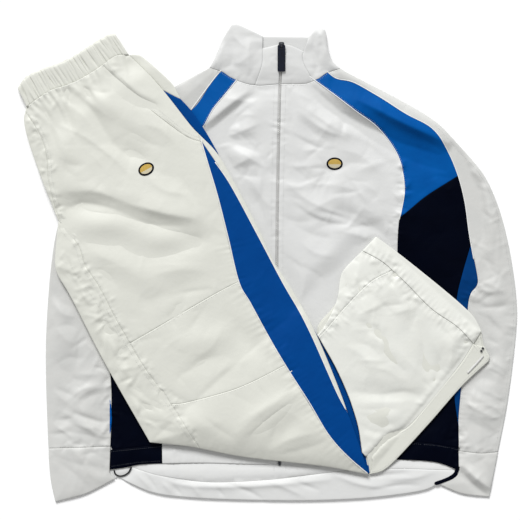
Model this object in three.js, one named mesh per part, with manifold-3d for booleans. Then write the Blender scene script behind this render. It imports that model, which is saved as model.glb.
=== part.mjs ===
// Tracksuit laid flat: a zipped jacket on its back, with the trousers folded in half lengthwise on top of it
// and their lower legs turned under at the knee. Millimetres, +Z up from the surface that the set lies on.
// The origin is on that surface, on the jacket's centre line. +Y runs to the collar. +X runs to the sleeve
// that is on the right as the set is seen from above, and left and right in the names are as seen from above.
import * as THREE from "three";
import Module from "manifold-3d";

const wasm = await Module();
wasm.setup();

// Cloth and seams
const WALL = 1.2; // one panel's wall
const SEAM = 0.3; // the gap between two pieces that meet
const HEM_EXTRA = 0.9; // how much a turned hem or cuff is thicker than a plain wall
const CELL = 30; // the mesh step across a panel
const EDGE_STEP = 8; // the step along an outline or seam
const EDGE_TOLERANCE = 0.8; // and how far its mesh may cut a bend

// Heights of the layers
const BACK_TOP = WALL;
const FRONT_LOW = BACK_TOP + SEAM + WALL; // the front's upper face where it meets the back at an edge
const JACKET_LOFT = 4.5; // how far the front stands off the back, away from its edges
const JACKET_SOFT = 34; // the distance over which it rises
const LEG_EDGE = 7.4; // the folded leg's thickness at its edge
const LEG_LOFT = 9;
const LEG_SOFT = 30;
const FLAP_EDGE = 4.6; // the turned-under lower legs, where they show
const FLAP_LOFT = 6.5;
const FLAP_SOFT = 24;
const FLAP_UNDER_LEG = 5.5; // how far they lift the leg that lies on them
const UNDER_EDGE = 3.4; // the under leg where it peeps out
const PRESSED = 34; // the trousers press the jacket flat this far beside them
const SHELF_HOLD = 34; // beside the jacket the trousers keep its height this far
const SHELF_END = 68; // and lie on the floor from here
const LAYER_SPLIT = [4.2, 4.8]; // heights of the gap between the hidden layers at the trousers' edge
const LAYER_INSET = 4; // how far in it reaches
const CORE_DOWN = WALL + SEAM; // from the panels' upper face to the hidden layers
const CORE_BACK = 0.4; // the hidden layers stay this far inside the panels' outlines
const FOLD_ENDS = 0.45; // a fold's height at its ends, as a share of its middle
const FOLD_FADE = 10; // the distance from an edge over which folds reach their height
const BELOW_ALL = -20; // heights that clear the whole set
const ABOVE_ALL = 80;
const COVER = { x: -410, y: -380, width: 792, length: 760 }; // the rectangle that the cloth's mesh spans

// Colours
const COLOUR = {
  jacket: 0xe4e5e3,
  trouser: 0xe2e1d8,
  blue: 0x0a5fb4,
  navy: 0x0b1220,
  black: 0x15171a,
  metal: 0x3a3d42,
  gold: 0xd8b45a,
};

// Jacket outline, each edge from its first corner to its last. Columns: x, y.
const COLLAR_LEFT = [[-104, 302], [-95, 318], [-85, 342], [-77, 357], [-66, 370], [-40, 360], [-21, 351]];
const COLLAR_BACK = [[-21, 351], [50, 350]];
const COLLAR_RIGHT = [[50, 350], [60, 361], [70, 363], [76, 359], [80, 332], [87, 312], [100, 300]];
const SLEEVE_RIGHT = [
  [100, 300], [150, 274], [200, 247], [250, 216], [285, 178], [320, 138], [341, 95], [356, 45],
  [368, -20], [373, -80], [368, -135], [360, -205], [351, -255], [341, -310], [330, -363],
];
const CUFF_RIGHT = [[330, -363], [305, -361], [280, -356], [250, -343]];
const TAIL = [
  [250, -343], [232, -352], [200, -358], [140, -365], [50, -369], [-50, -368], [-140, -364], [-190, -357],
  [-225, -343], [-246, -333],
];
const CUFF_LEFT = [[-246, -333], [-265, -343], [-300, -360], [-343, -371]];
const SLEEVE_LEFT = [
  [-343, -371], [-351, -330], [-355, -260], [-358, -150], [-355, -70], [-349, 0], [-337, 65], [-310, 130],
  [-262, 205], [-200, 247], [-160, 272], [-104, 302],
];

// Jacket seams and free edges on the upper side. Columns: x, y.
const NECK = [
  [-114, 306], [-87, 297], [-65, 284], [-33, 275], [3, 277], [40, 277], [63, 284], [80, 295], [108, 304],
];
const COLLAR_FOLD_LEFT = [[-34, 273.6], [-30, 285], [-23, 305], [-21, 325], [-21, 356]];
const COLLAR_FOLD_RIGHT = [[52, 356], [45, 336], [40, 318], [47, 298], [57.4, 280]];
const THROAT = [[-22.4, 331.9], [-10, 335], [5, 339], [20, 337], [43.4, 327.2]];
const RAGLAN_TOP_RIGHT = [
  [79, 296.2], [92, 286], [120, 279], [160, 256], [200, 230], [240, 208], [264, 176],
];
const RAGLAN_LOW_RIGHT = [
  [58.4, 283.6], [80, 267], [120, 236], [155, 211], [180, 181], [193, 152], [198, 110],
];
const RAGLAN_TOP_LEFT = [[-86.2, 298.6], [-100, 281], [-133, 236], [-190, 222], [-240, 195], [-266, 168]];
const RAGLAN_LOW_LEFT = [[-61, 284.4], [-80, 260], [-98, 238], [-117, 208], [-155, 180], [-185, 140]];
const ARM_RIGHT = [
  ...RAGLAN_TOP_RIGHT, [281, 137], [292, 95], [299, 45], [306, 5], [312, -32], [299, -55], [294, -120],
  [286, -200], [282, -255], [283, -318], [276, -330], [262, -338], [244, -349],
];
const ARM_LEFT = [
  ...RAGLAN_TOP_LEFT, [-281, 137], [-291, 80], [-286, 0], [-270, -100], [-258, -172], [-256, -230],
  [-259, -318], [-257, -329], [-249, -337], [-238, -348],
];
const SIDE_RIGHT = [...RAGLAN_LOW_RIGHT, [190, 66], [188, 30], [187, -60], [187, -200], [187, -322]];
const SIDE_LEFT = [...RAGLAN_LOW_LEFT, [-190, 68], [-188, 0], [-182, -120], [-178, -230], [-177, -322]];
const YOKE_RIGHT = [[189, 67.5], [228, 100], [256, 118], [283.2, 135.4]];
const YOKE_LEFT = YOKE_RIGHT.map(([x, y]) => [-x, y]);
const WEDGE_RIGHT = [
  [302.6, 31], [292, -5], [285, -30], [279, -62], [275, -130], [276, -205], [282.6, -257],
];
const HEM_SEAM = [
  [-259.8, -290.7], [-178, -283], [-90, -286], [0, -287], [100, -284], [187, -278], [245, -281],
  [284.2, -287.8],
];
const HEM_EDGE = [
  [-260.7, -321.4], [-240, -319], [-205, -313], [-120, -311], [-50, -313], [8, -312], [100, -310],
  [187, -306],
  [240, -309], [262, -314], [284, -323.3],
];
const CUFF_SEAM_LEFT = [[-366, -289], [-300, -287], [-256.2, -285.4]];
const CUFF_SEAM_RIGHT = [[372, -292], [320, -296], [281, -292.4]];
const ZIP = [[9, 352], [6, 293], [4, 220], [2, 130], [1, 40], [1, -100], [4, -250], [5, -322]];
const BACK_TAIL_SEAM = [
  [-278, -309], [-225, -318], [-180, -331], [-100, -341], [0, -336], [60, -329], [150, -320], [294, -323],
];
const BACK_RAGLAN_RIGHT = [
  [70, 310], [100, 270], [150, 190], [220, 130], [286, 110], [294, 0], [286, -200], [283, -318], [240, -350],
];
const BACK_RAGLAN_LEFT = [
  ...BACK_RAGLAN_RIGHT.slice(0, -2).map(([x, y]) => [-x, y]), [-259, -318], [-238, -343],
];
const BACK_NECK = [[-114, 306], [-60, 290], [0, 286], [60, 290], [108, 304]];

// Trouser outline from the waistband's left end round the leg. Columns: x, y.
const SEAT_EDGE = [[-387, 241], [-391, 222], [-386, 195], [-368, 142], [-352, 100], [-337, 64]];
const INSEAM_EDGE = [
  [-337, 64], [-341, 25], [-341, -12], [-320, -50], [-295, -100], [-263, -160], [-228, -220], [-196, -278],
];
const FOLD_EDGE = [[-196, -278], [-130, -285], [-60, -299], [0, -307], [80, -316], [143, -328]];
const OUTER_EDGE = [
  [143, -328], [133, -298], [112, -240], [100, -205], [80, -155], [63, -115], [45, -80], [20, -35], [-2, -3],
  [-22, 40], [-43, 80], [-66, 122], [-92, 169], [-127, 205], [-160, 247], [-190, 283], [-229, 322],
];
const WAIST_SEAM = [
  [-229, 322], [-250, 319], [-276, 300], [-312, 279], [-345, 268], [-366, 256], [-387, 241],
];
const WAIST_TOP = [
  [-250, 354], [-265, 350], [-282, 340], [-320, 316], [-360, 300], [-385, 289], [-401, 270],
];
const WAIST_END_RIGHT = [[-229, 322], [-240, 341], [-250, 354]];
const WAIST_END_LEFT = [[-401, 270], [-399, 257], [-387, 241]];

// Trouser seams on the upper side. Columns: x, y.
const RISE_SEAM = [[-396, 243], [-370, 205], [-356, 170], [-353, 130], [-347, 105], [-336, 62]];
const INSEAM = [
  [-342, 70], [-322, 45], [-305, 25], [-295, -5], [-275, -35], [-245, -92], [-207, -157], [-165, -215],
  [-116, -292],
];
const POCKET_MOUTH = [
  [-272, 308], [-250, 287], [-230, 266], [-205, 244], [-180, 226], [-140, 195], [-114.4, 186],
];
const STRIPE_FRONT = [
  [-124, 210], [-117, 190], [-105, 150], [-91, 103], [-75, 40], [-58, -30], [-40, -63], [-10, -118],
  [18, -165],
  [50, -215], [80, -265], [110, -299], [148, -332],
];
const STRIPE_BACK = [
  [-125, 201], [-95, 155], [-70, 118], [-28, 40], [10, -32], [35, -75], [55, -115], [78, -167], [97, -209],
  [119, -248],
];
const KNEE_TOP = [[-56.8, -28.4], [-80, -40], [-120, -63], [-175, -95], [-212, -117], [-228, -125.7]];
const KNEE_LOW = [[14.9, -156.7], [0, -165], [-45, -187], [-80, -200], [-140, -216], [-164.3, -218.6]];

// The turned-under lower legs, and the under leg where it shows. Columns: x, y.
const ANKLE_EDGE = [[154, 40], [188, 15], [240, -28], [280, -60], [305, -84], [318, -108]];
const PLACKET_EDGE = [
  [318, -108], [322, -130], [330, -148], [320, -161], [298, -180], [270, -210], [240, -245], [215, -272],
  [188, -302], [165, -322], [143, -328],
];
const FLAP_HIDDEN = [
  [143, -328], [100, -300], [-20, -170], [20, -100], [60, -114], [92, -62], [100, -20], [115, 0], [154, 40],
];
const ANKLE_SEAM = [[112, 32], [133, 18], [165, 0], [200, -32], [240, -72], [280, -100], [306.6, -127.7]];
const CALF_SEAM = [[180.4, -11.3], [145, -30], [105, -70], [75, -105], [50, -130]];
const PLACKET_FOLD = [
  [320, -102], [305, -127], [285, -157], [258, -190], [225, -230], [203, -255], [170, -272], [139, -306],
];
const ANKLE_ZIP_WIDTH = 3;
const ANKLE_ZIP = [[320, -145], [309, -158], [296, -171]];
const UNDER_EDGE_LINE = [
  [56, -100], [82, -145], [100, -180], [116, -220], [128, -262], [133, -296], [147, -301], [148, -318],
  [143, -328],
];
const UNDER_HIDDEN = [[143, -328], [100, -280], [30, -90], [56, -100]];
const HIP_EDGE_LINE = [
  [-229, 322], [-212, 321], [-186, 300], [-163, 278], [-154, 263], [-147, 251], [-132, 235], [-115, 210],
  [-106, 197], [-96, 180], [-90, 168],
];
const HIP_HIDDEN = [[-90, 168], [-110, 165], [-170, 210], [-240, 300], [-229, 322]];
const HIP_STRIPE_SEAM = [[-186, 272], [-178, 268], [-162, 260], [-152, 254.5], [-144.5, 252]];

// Where the lower legs run below the leg that hides them. Columns: x, y.
const HIDDEN_LEGS = [[-196, -278], [143, -328], [318, -108], [154, 40]];

// Soft folds. Columns: the two ends x1, y1, x2, y2, then rise (below 0 is a trough) and half width.
const JACKET_FOLDS = [
  [-40, 258, -104, 204, -3.2, 15],
  [-20, 250, -70, 214, 2.6, 16],
  [-92, 196, -34, 176, -2.6, 14],
  [-70, 168, -28, 166, 3.4, 15],
  [50, 275, 108, 226, -2.8, 15],
  [100, 226, 168, 192, -2.6, 14],
  [60, 232, 120, 200, 2.2, 16],
  [140, 236, 282, 158, -2.2, 16],
  [120, 262, 230, 200, 2.0, 16],
  [80, 110, 175, 62, 2.4, 18],
  [90, 84, 160, 40, -2.2, 16],
  [-50, 120, -60, 60, -2.0, 18],
  [60, 20, 120, -30, 2.2, 18],
  [318, 132, 318, 30, -3.4, 14],
  [336, 80, 346, -40, 3.0, 16],
  [330, -60, 324, -170, -3.0, 16],
  [350, -120, 340, -230, 2.4, 16],
  [306, -200, 322, -280, 2.6, 16],
  [-338, -20, -334, -120, 2.4, 15],
  [-312, -130, -326, -240, -3.0, 16],
  [-300, -210, -290, -270, 2.4, 15],
];
const LEG_FOLDS = [
  [-318, 256, -255, 186, -3.2, 15],
  [-255, 186, -190, 155, -2.6, 15],
  [-350, 236, -310, 200, -2.6, 14],
  [-290, 262, -240, 226, 2.4, 15],
  [-340, 214, -322, 128, 2.6, 16],
  [-336, 90, -262, 92, -4.2, 17],
  [-262, 92, -140, 55, -3.6, 17],
  [-312, 60, -220, 58, 4.2, 18],
  [-220, 40, -120, 26, 2.6, 17],
  [-180, 16, -96, 40, -2.4, 15],
  [-260, 10, -180, -40, 2.2, 18],
  [-150, 110, -104, 20, 2.0, 17],
  [-200, -60, -120, -28, -2.0, 15],
  [-160, -130, -70, -110, 2.4, 18],
  [-70, -90, -30, -140, -2.2, 15],
  [36, -204, -20, -246, 3.2, 16],
  [-20, -246, -70, -276, 2.6, 16],
  [30, -240, -10, -290, -2.6, 15],
  [-150, -232, -90, -262, 2.2, 16],
];
const FLAP_FOLDS = [
  [222, -88, 242, -184, -3.0, 16],
  [196, -168, 150, -104, 2.8, 16],
  [112, -196, 236, -208, -3.0, 15],
  [140, -240, 210, -236, 2.4, 15],
  [170, -40, 120, -96, 2.4, 15],
  [262, -110, 286, -140, 2.2, 14],
];

// Waistband
const GATHERS = 23;
const GATHER_DEPTH = 1.5; // how far a gather stands over the hollow beside it
const WAIST_BED = 5.7; // the hidden layers' height below the band
const WAIST_OVERLAP = 10; // how far they run on below its seam
const GATHER_STEPS = 4;
const GATHER_ROWS = 2;
const BED_BACK = 1.5; // the bed stays this far inside the trousers' outline

// Zip slider and pull
const ZIP_GAP = 4.4; // between the fronts
const ZIP_HEAD = 326;
const ZIP_FOOT = -308;
const STOP_BOX = { length: 6.6, thick: 2.4, corner: 0.8 };
const SLIDER = { x: 7.6, y: 336, width: 8.5, length: 11, thick: 2.2, corner: 2.2 };
const BRIDGE = { width: 2.6, length: 7, height: 4.5, metal: 0.9, corner: 1.4, innerCorner: 0.9 };
const PULL = { width: 12, length: 41, thick: 2.2, corner: 2.4, bar: 1.5 };
const PULL_WINDOW = { width: 3.6, length: BRIDGE.length / 2 + 1.6, corner: 0.6 }; // where the bridge passes

// Badges: an oval with a raised rim
const BADGE = { rx: 12.2, ry: 9, rim: 2, thick: 0.9, rimExtra: 0.5 };
const CHEST_BADGE = { x: 90, y: 153, turn: 0 };
const THIGH_BADGE = { x: -201, y: 144, turn: 0.5 };

// Hem cord
const CORD_DIAMETER = 2.4;
const CORD_ROUTE = [
  [-252, -322.4], [-250.5, -327.5], [-244.5, -331.2], [-236, -330], [-229, -325], [-225.5, -317.4],
];

// Drops the points that a line can do without.
function thinned(points, tolerance) {
  const last = points.length - 1;
  let far = 0;
  let most = 0;
  for (let i = 1; i < last; i += 1) {
    const off = distanceToSegment(points[i].x, points[i].y, points[0], points[last]).distance;
    if (off > most) [far, most] = [i, off];
  }
  if (most <= tolerance) return [points[0], points[last]];
  const before = thinned(points.slice(0, far + 1), tolerance);
  return [...before.slice(0, -1), ...thinned(points.slice(far), tolerance)];
}

// A smooth line through the rows, as few points as its bends need.
function along(rows) {
  const line = new THREE.SplineCurve(rows.map(([x, y]) => new THREE.Vector2(x, y)));
  return thinned(line.getSpacedPoints(Math.max(2, Math.ceil(line.getLength() / EDGE_STEP))), EDGE_TOLERANCE);
}

const corner = ([x, y]) => new THREE.Vector2(x, y);

// One closed outline from edges that run end to end.
function outlineOf(...edges) {
  return edges.flatMap((rows) => along(rows).slice(0, -1));
}

// The same outline moved inwards.
function inset(points, distance) {
  const sense = Math.sign(THREE.ShapeUtils.area(points));
  return points.map((p, i) => {
    const before = points.at(i - 1);
    const after = points[(i + 1) % points.length];
    const run = after.clone().sub(before).normalize();
    return new THREE.Vector2(p.x - run.y * distance * sense, p.y + run.x * distance * sense);
  });
}

function distanceToSegment(x, y, a, b) {
  const dx = b.x - a.x;
  const dy = b.y - a.y;
  const t = THREE.MathUtils.clamp(((x - a.x) * dx + (y - a.y) * dy) / (dx * dx + dy * dy), 0, 1);
  return { distance: Math.hypot(x - a.x - t * dx, y - a.y - t * dy), t };
}

function distanceToLine(x, y, points) {
  let least = Infinity;
  for (let i = 1; i < points.length; i += 1) {
    least = Math.min(least, distanceToSegment(x, y, points[i - 1], points[i]).distance);
  }
  return least;
}

function isInside(x, y, points) {
  let inside = false;
  points.forEach((p, i) => {
    const q = points.at(i - 1);
    if (p.y > y !== q.y > y && x < p.x + ((y - p.y) * (q.x - p.x)) / (q.y - p.y)) inside = !inside;
  });
  return inside;
}

// Distance into a closed outline, below 0 outside it.
function depthInto(x, y, points) {
  const distance = distanceToLine(x, y, [...points, points[0]]);
  return isInside(x, y, points) ? distance : -distance;
}

function rise(distance, softness) {
  return 1 - Math.exp(-Math.max(distance, 0) / softness);
}

// The height that a table of folds adds at a point.
function foldHeight(x, y, folds) {
  return folds.reduce((sum, [x1, y1, x2, y2, height, half]) => {
    const near = distanceToSegment(x, y, { x: x1, y: y1 }, { x: x2, y: y2 });
    const taper = FOLD_ENDS + (1 - FOLD_ENDS) * Math.sin(Math.PI * near.t);
    return sum + height * taper * Math.exp(-((near.distance / half) ** 2));
  }, 0);
}

// Outlines that the heights and cuts use
const jacketOutline = outlineOf(
  COLLAR_LEFT, COLLAR_BACK, COLLAR_RIGHT, SLEEVE_RIGHT, CUFF_RIGHT, TAIL, CUFF_LEFT, SLEEVE_LEFT,
);
const legOutline = outlineOf(SEAT_EDGE, INSEAM_EDGE, FOLD_EDGE, OUTER_EDGE, WAIST_SEAM);
const trouserOutline = outlineOf(
  SEAT_EDGE, INSEAM_EDGE, FOLD_EDGE, OUTER_EDGE, WAIST_END_RIGHT, WAIST_TOP, WAIST_END_LEFT,
);
const flapOutline = outlineOf(ANKLE_EDGE, PLACKET_EDGE, FLAP_HIDDEN);
const underOutline = outlineOf(UNDER_EDGE_LINE, UNDER_HIDDEN);
const hipOutline = outlineOf(HIP_EDGE_LINE, HIP_HIDDEN);
const hiddenLegs = HIDDEN_LEGS.map(corner);
const jacketValleys = [ARM_RIGHT, ARM_LEFT, HEM_EDGE, THROAT, NECK].map((rows) => along(rows));

// From 0 below the trousers to 1 where the jacket is free of them
function freedom(x, y) {
  const under = [trouserOutline, hiddenLegs, flapOutline].map((points) => depthInto(x, y, points));
  return THREE.MathUtils.smoothstep(-Math.max(...under), 0, PRESSED);
}

// The jacket's upper face. Beside the jacket it runs on, then comes down to the floor.
function jacketTop(x, y) {
  const depth = depthInto(x, y, jacketOutline);
  if (depth < 0) {
    const shelf = THREE.MathUtils.smoothstep(-depth, SHELF_HOLD, SHELF_END);
    return FRONT_LOW - (FRONT_LOW + SEAM) * shelf;
  }
  const edge = Math.min(depth, ...jacketValleys.map((line) => distanceToLine(x, y, line)));
  const folds = foldHeight(x, y, JACKET_FOLDS) * rise(edge, FOLD_FADE);
  return FRONT_LOW + Math.max(0, JACKET_LOFT * rise(edge, JACKET_SOFT) + folds) * freedom(x, y);
}

const hemTop = (x, y) => jacketTop(x, y) + HEM_EXTRA * freedom(x, y);

const bedOf = (x, y) => jacketTop(x, y) + SEAM;

function legTop(x, y) {
  const depth = depthInto(x, y, trouserOutline);
  const lifted = FLAP_UNDER_LEG * rise(depthInto(x, y, hiddenLegs), FLAP_SOFT);
  const folds = foldHeight(x, y, LEG_FOLDS) * rise(depth, FOLD_FADE);
  return bedOf(x, y) + LEG_EDGE + Math.max(0, LEG_LOFT * rise(depth, LEG_SOFT) + lifted + folds);
}

function flapTop(x, y) {
  const depth = depthInto(x, y, hiddenLegs);
  const folds = foldHeight(x, y, FLAP_FOLDS) * rise(depth, FOLD_FADE);
  return bedOf(x, y) + FLAP_EDGE + Math.max(0, FLAP_LOFT * rise(depth, FLAP_SOFT) + folds);
}

const underTop = (x, y) => bedOf(x, y) + UNDER_EDGE;

// A three.js geometry as a manifold-3d solid.
function solidOf(geometry) {
  const loose = geometry.index ? geometry.toNonIndexed() : geometry;
  const position = loose.getAttribute("position");
  const seen = new Map();
  const points = [];
  const corners = [];
  for (let i = 0; i < position.count; i += 1) {
    const p = [position.getX(i), position.getY(i), position.getZ(i)];
    const key = p.map((v) => Math.round(v * 1e4)).join();
    if (!seen.has(key)) {
      seen.set(key, points.length / 3);
      points.push(...p);
    }
    corners.push(seen.get(key));
  }
  const kept = [];
  for (let i = 0; i < corners.length; i += 3) {
    const [a, b, c] = corners.slice(i, i + 3);
    if (a !== b && b !== c && a !== c) kept.push(a, b, c);
  }
  const mesh = new wasm.Mesh({
    numProp: 3,
    vertProperties: new Float32Array(points),
    triVerts: new Uint32Array(kept),
  });
  return new wasm.Manifold(mesh);
}

// An upright prism through a closed outline.
function prismOf(points, low = BELOW_ALL, high = ABOVE_ALL) {
  const geometry = new THREE.ExtrudeGeometry(new THREE.Shape(points), {
    depth: high - low,
    bevelEnabled: false,
  });
  geometry.translate(0, 0, low);
  return solidOf(geometry);
}

// A thin upright cut that follows a seam.
function cutAlong(rows, width = SEAM) {
  const points = along(rows);
  const sides = [width / 2, -width / 2].map((distance) =>
    points.map((p, i) => {
      const before = points[Math.max(i - 1, 0)];
      const after = points[Math.min(i + 1, points.length - 1)];
      const run = after.clone().sub(before).normalize();
      return new THREE.Vector2(p.x - run.y * distance, p.y + run.x * distance);
    }),
  );
  return prismOf([...sides[0], ...sides[1].reverse()]);
}

// An upright prism through a rectangle between two corners.
function boxOf(x1, y1, x2, y2, low, high) {
  return prismOf([[x1, y1], [x2, y1], [x2, y2], [x1, y2]].map(corner), low, high);
}

const GRID = {
  x: COVER.x,
  y: COVER.y,
  columns: Math.ceil(COVER.width / CELL),
  rows: Math.ceil(COVER.length / CELL),
};
const heightCache = new Map();

function gridHeights(height) {
  if (!heightCache.has(height)) {
    const values = [];
    for (let j = 0; j <= GRID.rows; j += 1) {
      for (let i = 0; i <= GRID.columns; i += 1) {
        values.push(height(GRID.x + i * CELL, GRID.y + j * CELL));
      }
    }
    heightCache.set(height, values);
  }
  return heightCache.get(height);
}

// A sheet between two heights, over the whole grid. Each height is a function and what is added to it.
function slabBetween([lowOf, lowAdd], [highOf, highAdd]) {
  const across = GRID.columns + 1;
  const count = across * (GRID.rows + 1);
  const low = gridHeights(lowOf);
  const high = gridHeights(highOf);
  const points = [];
  for (const [values, add] of [[low, lowAdd], [high, highAdd]]) {
    values.forEach((z, k) => {
      points.push(GRID.x + (k % across) * CELL, GRID.y + Math.floor(k / across) * CELL, z + add);
    });
  }
  const faces = [];
  for (let j = 0; j < GRID.rows; j += 1) {
    for (let i = 0; i < GRID.columns; i += 1) {
      const a = j * across + i;
      const b = a + 1;
      const c = b + across;
      const d = a + across;
      const split = (i + j) % 2 === 0 ? [[a, b, c], [a, c, d]] : [[a, b, d], [b, c, d]];
      for (const [p, q, r] of split) {
        faces.push(p, r, q, p + count, q + count, r + count);
      }
    }
  }
  const rim = [];
  for (let i = 0; i < GRID.columns; i += 1) rim.push(i);
  for (let j = 0; j < GRID.rows; j += 1) rim.push(GRID.columns + j * across);
  for (let i = GRID.columns; i > 0; i -= 1) rim.push(GRID.rows * across + i);
  for (let j = GRID.rows; j > 0; j -= 1) rim.push(j * across);
  rim.forEach((p, k) => {
    const q = rim[(k + 1) % rim.length];
    faces.push(p, q, q + count, p, q + count, p + count);
  });
  const geometry = new THREE.BufferGeometry();
  geometry.setAttribute("position", new THREE.Float32BufferAttribute(points, 3));
  geometry.setIndex(faces);
  return solidOf(geometry);
}

function joined(solids) {
  return solids.reduce((sum, one) => sum.add(one));
}

const group = new THREE.Group();
group.name = "tracksuit";

function addMesh(name, geometry, colour) {
  const material = new THREE.MeshStandardMaterial({ color: COLOUR[colour], roughness: 0.6 });
  material.name = colour;
  const mesh = new THREE.Mesh(geometry, material);
  mesh.name = name;
  group.add(mesh);
}

function addSolid(name, solid, colour) {
  const made = solid.getMesh();
  const geometry = new THREE.BufferGeometry();
  geometry.setAttribute("position", new THREE.Float32BufferAttribute(made.vertProperties, 3));
  geometry.setIndex(Array.from(made.triVerts));
  geometry.computeVertexNormals();
  addMesh(name, geometry, colour);
}

// Whether a piece covers a point, seen from above.
function covers(piece, x, y) {
  const { vertProperties: v, triVerts: t } = piece.getMesh();
  for (let i = 0; i < t.length; i += 3) {
    const [a, b, c] = [t[i] * 3, t[i + 1] * 3, t[i + 2] * 3];
    const turn = (p, q) => (v[q] - v[p]) * (y - v[p + 1]) - (v[q + 1] - v[p + 1]) * (x - v[p]);
    const area = (v[b] - v[a]) * (v[c + 1] - v[a + 1]) - (v[b + 1] - v[a + 1]) * (v[c] - v[a]);
    if (area > 0 && turn(a, b) >= 0 && turn(b, c) >= 0 && turn(c, a) >= 0) return true;
  }
  return false;
}

// Cuts a layer along its seams and keeps the piece at each row's point. Columns: name, x, y, colour.
function cutPieces(layer, cuts, rows) {
  const pieces = layer.subtract(joined(cuts)).decompose();
  for (const [name, x, y, colour] of rows) {
    const piece = pieces.find((one) => covers(one, x, y));
    if (!piece) throw new Error("no cloth at " + name);
    addSolid(name, piece, colour);
  }
}

// Jacket back: one flat layer that the set lies on
const backLayer = prismOf(jacketOutline, 0, BACK_TOP);
cutPieces(
  backLayer,
  [BACK_TAIL_SEAM, BACK_RAGLAN_RIGHT, BACK_RAGLAN_LEFT, BACK_NECK].map((rows) => cutAlong(rows)),
  [
    ["jacket_back", 0, 100, "jacket"],
    ["jacket_back_hem", 0, -350, "jacket"],
    ["sleeve_back_right", 330, -100, "jacket"],
    ["sleeve_back_left", -320, -100, "jacket"],
    ["collar_back", 0, 320, "jacket"],
  ],
);

// Jacket upper side: fronts, raglan bands, sides, sleeves, hems and the folded collar
const frontSheet = slabBetween([jacketTop, -WALL], [jacketTop, 0]);
const thickSheet = slabBetween([jacketTop, -WALL], [hemTop, 0]);
// Columns: seam, then the far corners of what is thicker beyond it
const THICK_BANDS = [
  [HEM_SEAM, [[284, -345], [-260, -345]]],
  [CUFF_SEAM_LEFT, [[-230, -380], [-366, -380]]],
  [CUFF_SEAM_RIGHT, [[240, -370], [372, -370]]],
  [NECK, [[108, 376], [-114, 376]]],
];
const beyond = ([seam, corners]) => prismOf([...along(seam), ...corners.map(corner)]);
const thickBands = joined(THICK_BANDS.map(beyond));
const frontLayer = frontSheet.add(thickSheet.intersect(thickBands)).intersect(prismOf(jacketOutline));
cutPieces(
  frontLayer,
  [
    cutAlong(ZIP, ZIP_GAP),
    ...[
      NECK, COLLAR_FOLD_LEFT, COLLAR_FOLD_RIGHT, THROAT, ARM_RIGHT, ARM_LEFT, SIDE_RIGHT, SIDE_LEFT,
      YOKE_RIGHT, YOKE_LEFT, WEDGE_RIGHT, HEM_SEAM, HEM_EDGE, CUFF_SEAM_LEFT, CUFF_SEAM_RIGHT,
    ].map((rows) => cutAlong(rows)),
  ],
  [
    ["front_left", -50, 100, "jacket"],
    ["front_right", 100, 100, "jacket"],
    ["raglan_band_left", -90, 262, "blue"],
    ["raglan_band_right", 150, 240, "blue"],
    ["side_panel_left", -230, -240, "navy"],
    ["side_panel_right", 240, 40, "navy"],
    ["sleeve_front_left", -320, -200, "jacket"],
    ["sleeve_front_right", 335, -100, "jacket"],
    ["under_sleeve_right", 299, -25, "blue"],
    ["cuff_left", -310, -330, "jacket"],
    ["cuff_right", 312, -330, "jacket"],
    ["hem_white_left", -60, -300, "jacket"],
    ["hem_white_right", 100, -297, "jacket"],
    ["hem_navy_left", -220, -300, "navy"],
    ["hem_navy_right", 240, -295, "navy"],
    ["collar_side_left", -60, 320, "jacket"],
    ["collar_front_left", -12, 310, "jacket"],
    ["collar_front_right", 25, 310, "jacket"],
    ["collar_side_right", 68, 320, "jacket"],
  ],
);

// Zip: a coil on its tape in the gap between the fronts
const zipSheet = slabBetween([jacketTop, -WALL], [jacketTop, -WALL / 3]);
const zipStretch = boxOf(-4 * ZIP_GAP, ZIP_FOOT, 4 * ZIP_GAP, ZIP_HEAD);
addSolid("zip_tape", zipSheet.intersect(cutAlong(ZIP, ZIP_GAP - 2 * SEAM)).intersect(zipStretch), "jacket");

// The hidden layers of the folded trousers: three at the edges, one solid inside them
function hiddenLayers(top, outline) {
  const whole = slabBetween([jacketTop, SEAM], [top, -CORE_DOWN]).intersect(prismOf(outline));
  const split = prismOf(inset(outline, -LAYER_INSET), ...LAYER_SPLIT);
  return whole.subtract(split.subtract(prismOf(inset(outline, LAYER_INSET))));
}
function plainLayers(top, outline) {
  return slabBetween([jacketTop, SEAM], [top, -CORE_DOWN]).intersect(prismOf(outline));
}
const bandBelow = WAIST_SEAM.map(([x, y]) => [x + WAIST_OVERLAP / 2, y - WAIST_OVERLAP]);
const bedOutline = outlineOf(
  [...bandBelow].reverse(), [bandBelow[0], WAIST_TOP[0]], WAIST_TOP, [WAIST_TOP.at(-1), bandBelow.at(-1)],
);
const waistBed = prismOf(bedOutline, 0, WAIST_BED).intersect(prismOf(inset(trouserOutline, BED_BACK)));
addSolid(
  "hidden_layers",
  joined([
    hiddenLayers(legTop, legOutline),
    plainLayers(flapTop, inset(flapOutline, CORE_BACK)).subtract(prismOf(underOutline)),
    plainLayers(underTop, underOutline),
    plainLayers(underTop, inset(hipOutline, CORE_BACK)),
    waistBed,
  ]),
  "trouser",
);

// Trouser leg that lies on top
const legSheet = slabBetween([legTop, -WALL], [legTop, 0]);
const legPrism = prismOf(legOutline);
cutPieces(
  legSheet.intersect(legPrism),
  [
    RISE_SEAM, INSEAM, POCKET_MOUTH, STRIPE_FRONT, STRIPE_BACK, KNEE_TOP, KNEE_LOW, WAIST_SEAM,
  ].map((rows) => cutAlong(rows)),
  [
    ["leg_thigh", -220, 100, "trouser"],
    ["leg_knee", -90, -120, "trouser"],
    ["leg_shin", -60, -240, "trouser"],
    ["hip_pocket", -200, 270, "trouser"],
    ["seat_strip", -372, 170, "trouser"],
    ["inseam_strip", -290, -50, "trouser"],
    ["side_stripe", -30, -20, "blue"],
    ["side_back_strip", 75, -150, "trouser"],
  ],
);

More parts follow.
